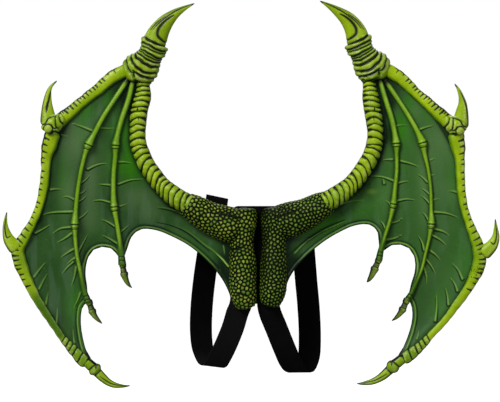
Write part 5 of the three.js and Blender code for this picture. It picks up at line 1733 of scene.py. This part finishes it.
def elastic(slot, grey):
    """Black woven elastic: fine ribs along it and small threads across."""
    paint = Paint(slot, Specular_IOR_Level=0.05)
    rib, thread = (paint.math("SINE", paint.math("MULTIPLY", paint.attribute(name), 2 * math.pi / spacing))
                   for name, spacing in (("side", RIB_SPACING), ("run", THREAD_SPACING)))
    weave = paint.math("ADD", rib, paint.math("MULTIPLY", thread, 0.5))
    cloud = paint.between(paint.spots(size=30, detail=4), low=0.3, high=0.75)
    colour = paint.mix(cloud, ELASTIC_COLOURS["base"], (grey, grey, grey))
    colour = paint.mix(paint.between(weave, low=0.2, high=1.5, end=0.35), colour, ELASTIC_COLOURS["ridge"])
    # Painted light on the front leg of each loop
    colour = paint.mix(paint.attribute("front_light"), colour, ELASTIC_COLOURS["front_light"])
    roughness = paint.rough(paint.spots(size=8), amount=0.16, least=0.6)
    return paint.finish(colour, roughness, paint.bump(weave, deep=0.12))


def make_materials():
    materials = {row["slot"]: painted_latex(**row) for row in LATEX_COLOURS}
    materials["web_latex"] = web_latex()
    for slot, grey in (("elastic", 5), ("panel_cloth", 4)):
        materials[slot] = elastic(slot, grey)
    return materials


BONES = table("kind build slot", [
    ("thumb_claw", thumb_claw, "claw_latex"),
    ("wrist_cuff", wrist_cuff, "bone_latex"),
    ("arm", arm, "bone_latex"),
    ("lead_bone_upper", lead_bone_upper, "bone_latex"),
    ("elbow_knuckle", elbow_knuckle, "bone_latex"),
    ("spur_claw_upper", spur_claw_upper, "claw_latex"),
    ("lead_bone_lower", lead_bone_lower, "bone_latex"),
    ("spur_claw_lower", spur_claw_lower, "claw_latex"),
    ("tip_knuckle", tip_knuckle, "bone_latex"),
    ("lead_tip_claw", lead_tip_claw, "claw_latex"),
    ("finger_2_bone", finger_2_bone, "finger_latex"),
    ("finger_3_bone", finger_3_bone, "finger_latex"),
    ("finger_2_claw", finger_2_claw, "claw_latex"),
    ("finger_3_claw", finger_3_claw, "claw_latex"),
])


def make_wing(wing, materials):
    for bone in BONES:
        mesh = tube_mesh(bone["build"](wing))
        add_piece("latex", f"{bone['kind']}_{wing.name}", mesh, bone["slot"], materials)
    add_piece("latex", f"membrane_{wing.name}", membrane_mesh(membrane_skin(wing)), "web_latex", materials)
    add_piece("latex", f"scaled_base_{wing.name}", scaled_base_mesh(wing), "scale_latex", materials)
    mesh, length = strap_mesh(wing)
    strap = add_piece("elastic", f"strap_{wing.name}", mesh, "elastic", materials)


def make_panel(materials):
    panel = add_piece("cloth", "back_panel", back_panel_mesh(), "panel_cloth", materials)


def make_camera():
    camera = add_object("camera", bpy.data.cameras.new("camera"))
    camera.data.lens = CAMERA_LENS
    camera.data.sensor_width = CAMERA_SENSOR
    camera.data.clip_end = CAMERA_SIGHT * MM
    camera.location = Vector(CAMERA_PLACE) * MM
    camera.rotation_euler = (math.pi / 2, 0, 0)
    bpy.context.scene.camera = camera


def shine_along(light, way):
    light.rotation_euler = Vector(way).to_track_quat("-Z", "Y").to_euler()


def make_sun():
    """The key light: soft, even over the whole floor, from above on the left."""
    sun = add_object("key", bpy.data.lights.new("key", "SUN"))
    sun.data.energy = SUN_STRENGTH
    sun.data.angle = math.radians(SUN_SPREAD)
    shine_along(sun, SUN_WAY)


def make_light(name, place, size, power):
    """A round soft light that shines at the middle of the wings."""
    light = add_object(name, bpy.data.lights.new(name, "AREA"))
    light.data.shape = "DISK"
    light.data.size = size * MM
    light.data.energy = power
    light.location = Vector(place) * MM
    shine_along(light, Vector(LIGHT_AIM) - Vector(place))


def make_world():
    """White at the horizon, where the camera looks, and dimmer above and below."""
    world = bpy.data.worlds.new("studio")
    bpy.context.scene.world = world
    world.use_nodes = True
    nodes = Nodes(world.node_tree)
    upward = nodes.add("SeparateXYZ", "Z", {0: nodes.add("TexCoord", "Generated", {})})
    glow = nodes.between(nodes.math("ABSOLUTE", upward), *HORIZON, 1, SKY_STRENGTH)
    nodes.feed(world.node_tree.nodes["Background"], {"Strength": glow, "Color": (1, 1, 1, 1)})


def make_floor():
    """A pale floor below the straps, wide enough to reach the horizon."""
    angles = np.linspace(0, 2 * math.pi, FLOOR_CORNERS + 1)[:-1]
    ring = [(math.cos(a) * FLOOR_REACH * MM, math.sin(a) * FLOOR_REACH * MM, 0) for a in angles]
    mesh = bpy.data.meshes.new("floor")
    mesh.from_pydata(ring, [], [tuple(range(FLOOR_CORNERS))])
    floor = add_object("floor", mesh)
    floor.location.z = FLOOR_HEIGHT * MM
    paint = Paint("floor", Emission_Color=(1, 1, 1, 1), Emission_Strength=FLOOR_GLOW)
    grain = paint.mix(paint.spots(size=400), *FLOOR_SHADES)
    roughness = paint.between(paint.spots(size=200), low=0, high=1, start=0.7, end=0.8)
    mesh.materials.append(paint.finish(grain, roughness, paint.bump(paint.spots(size=3), deep=0.05)))
    floor.visible_diffuse = False
    floor.visible_glossy = False


make_camera()
make_world()
make_floor()
make_sun()
for name, light in LIGHTS.items():
    make_light(name, **light)
bpy.context.scene.view_settings.view_transform = "Standard"
materials = make_materials()
for wing in (LEFT, RIGHT):
    make_wing(wing, materials)
make_panel(materials)
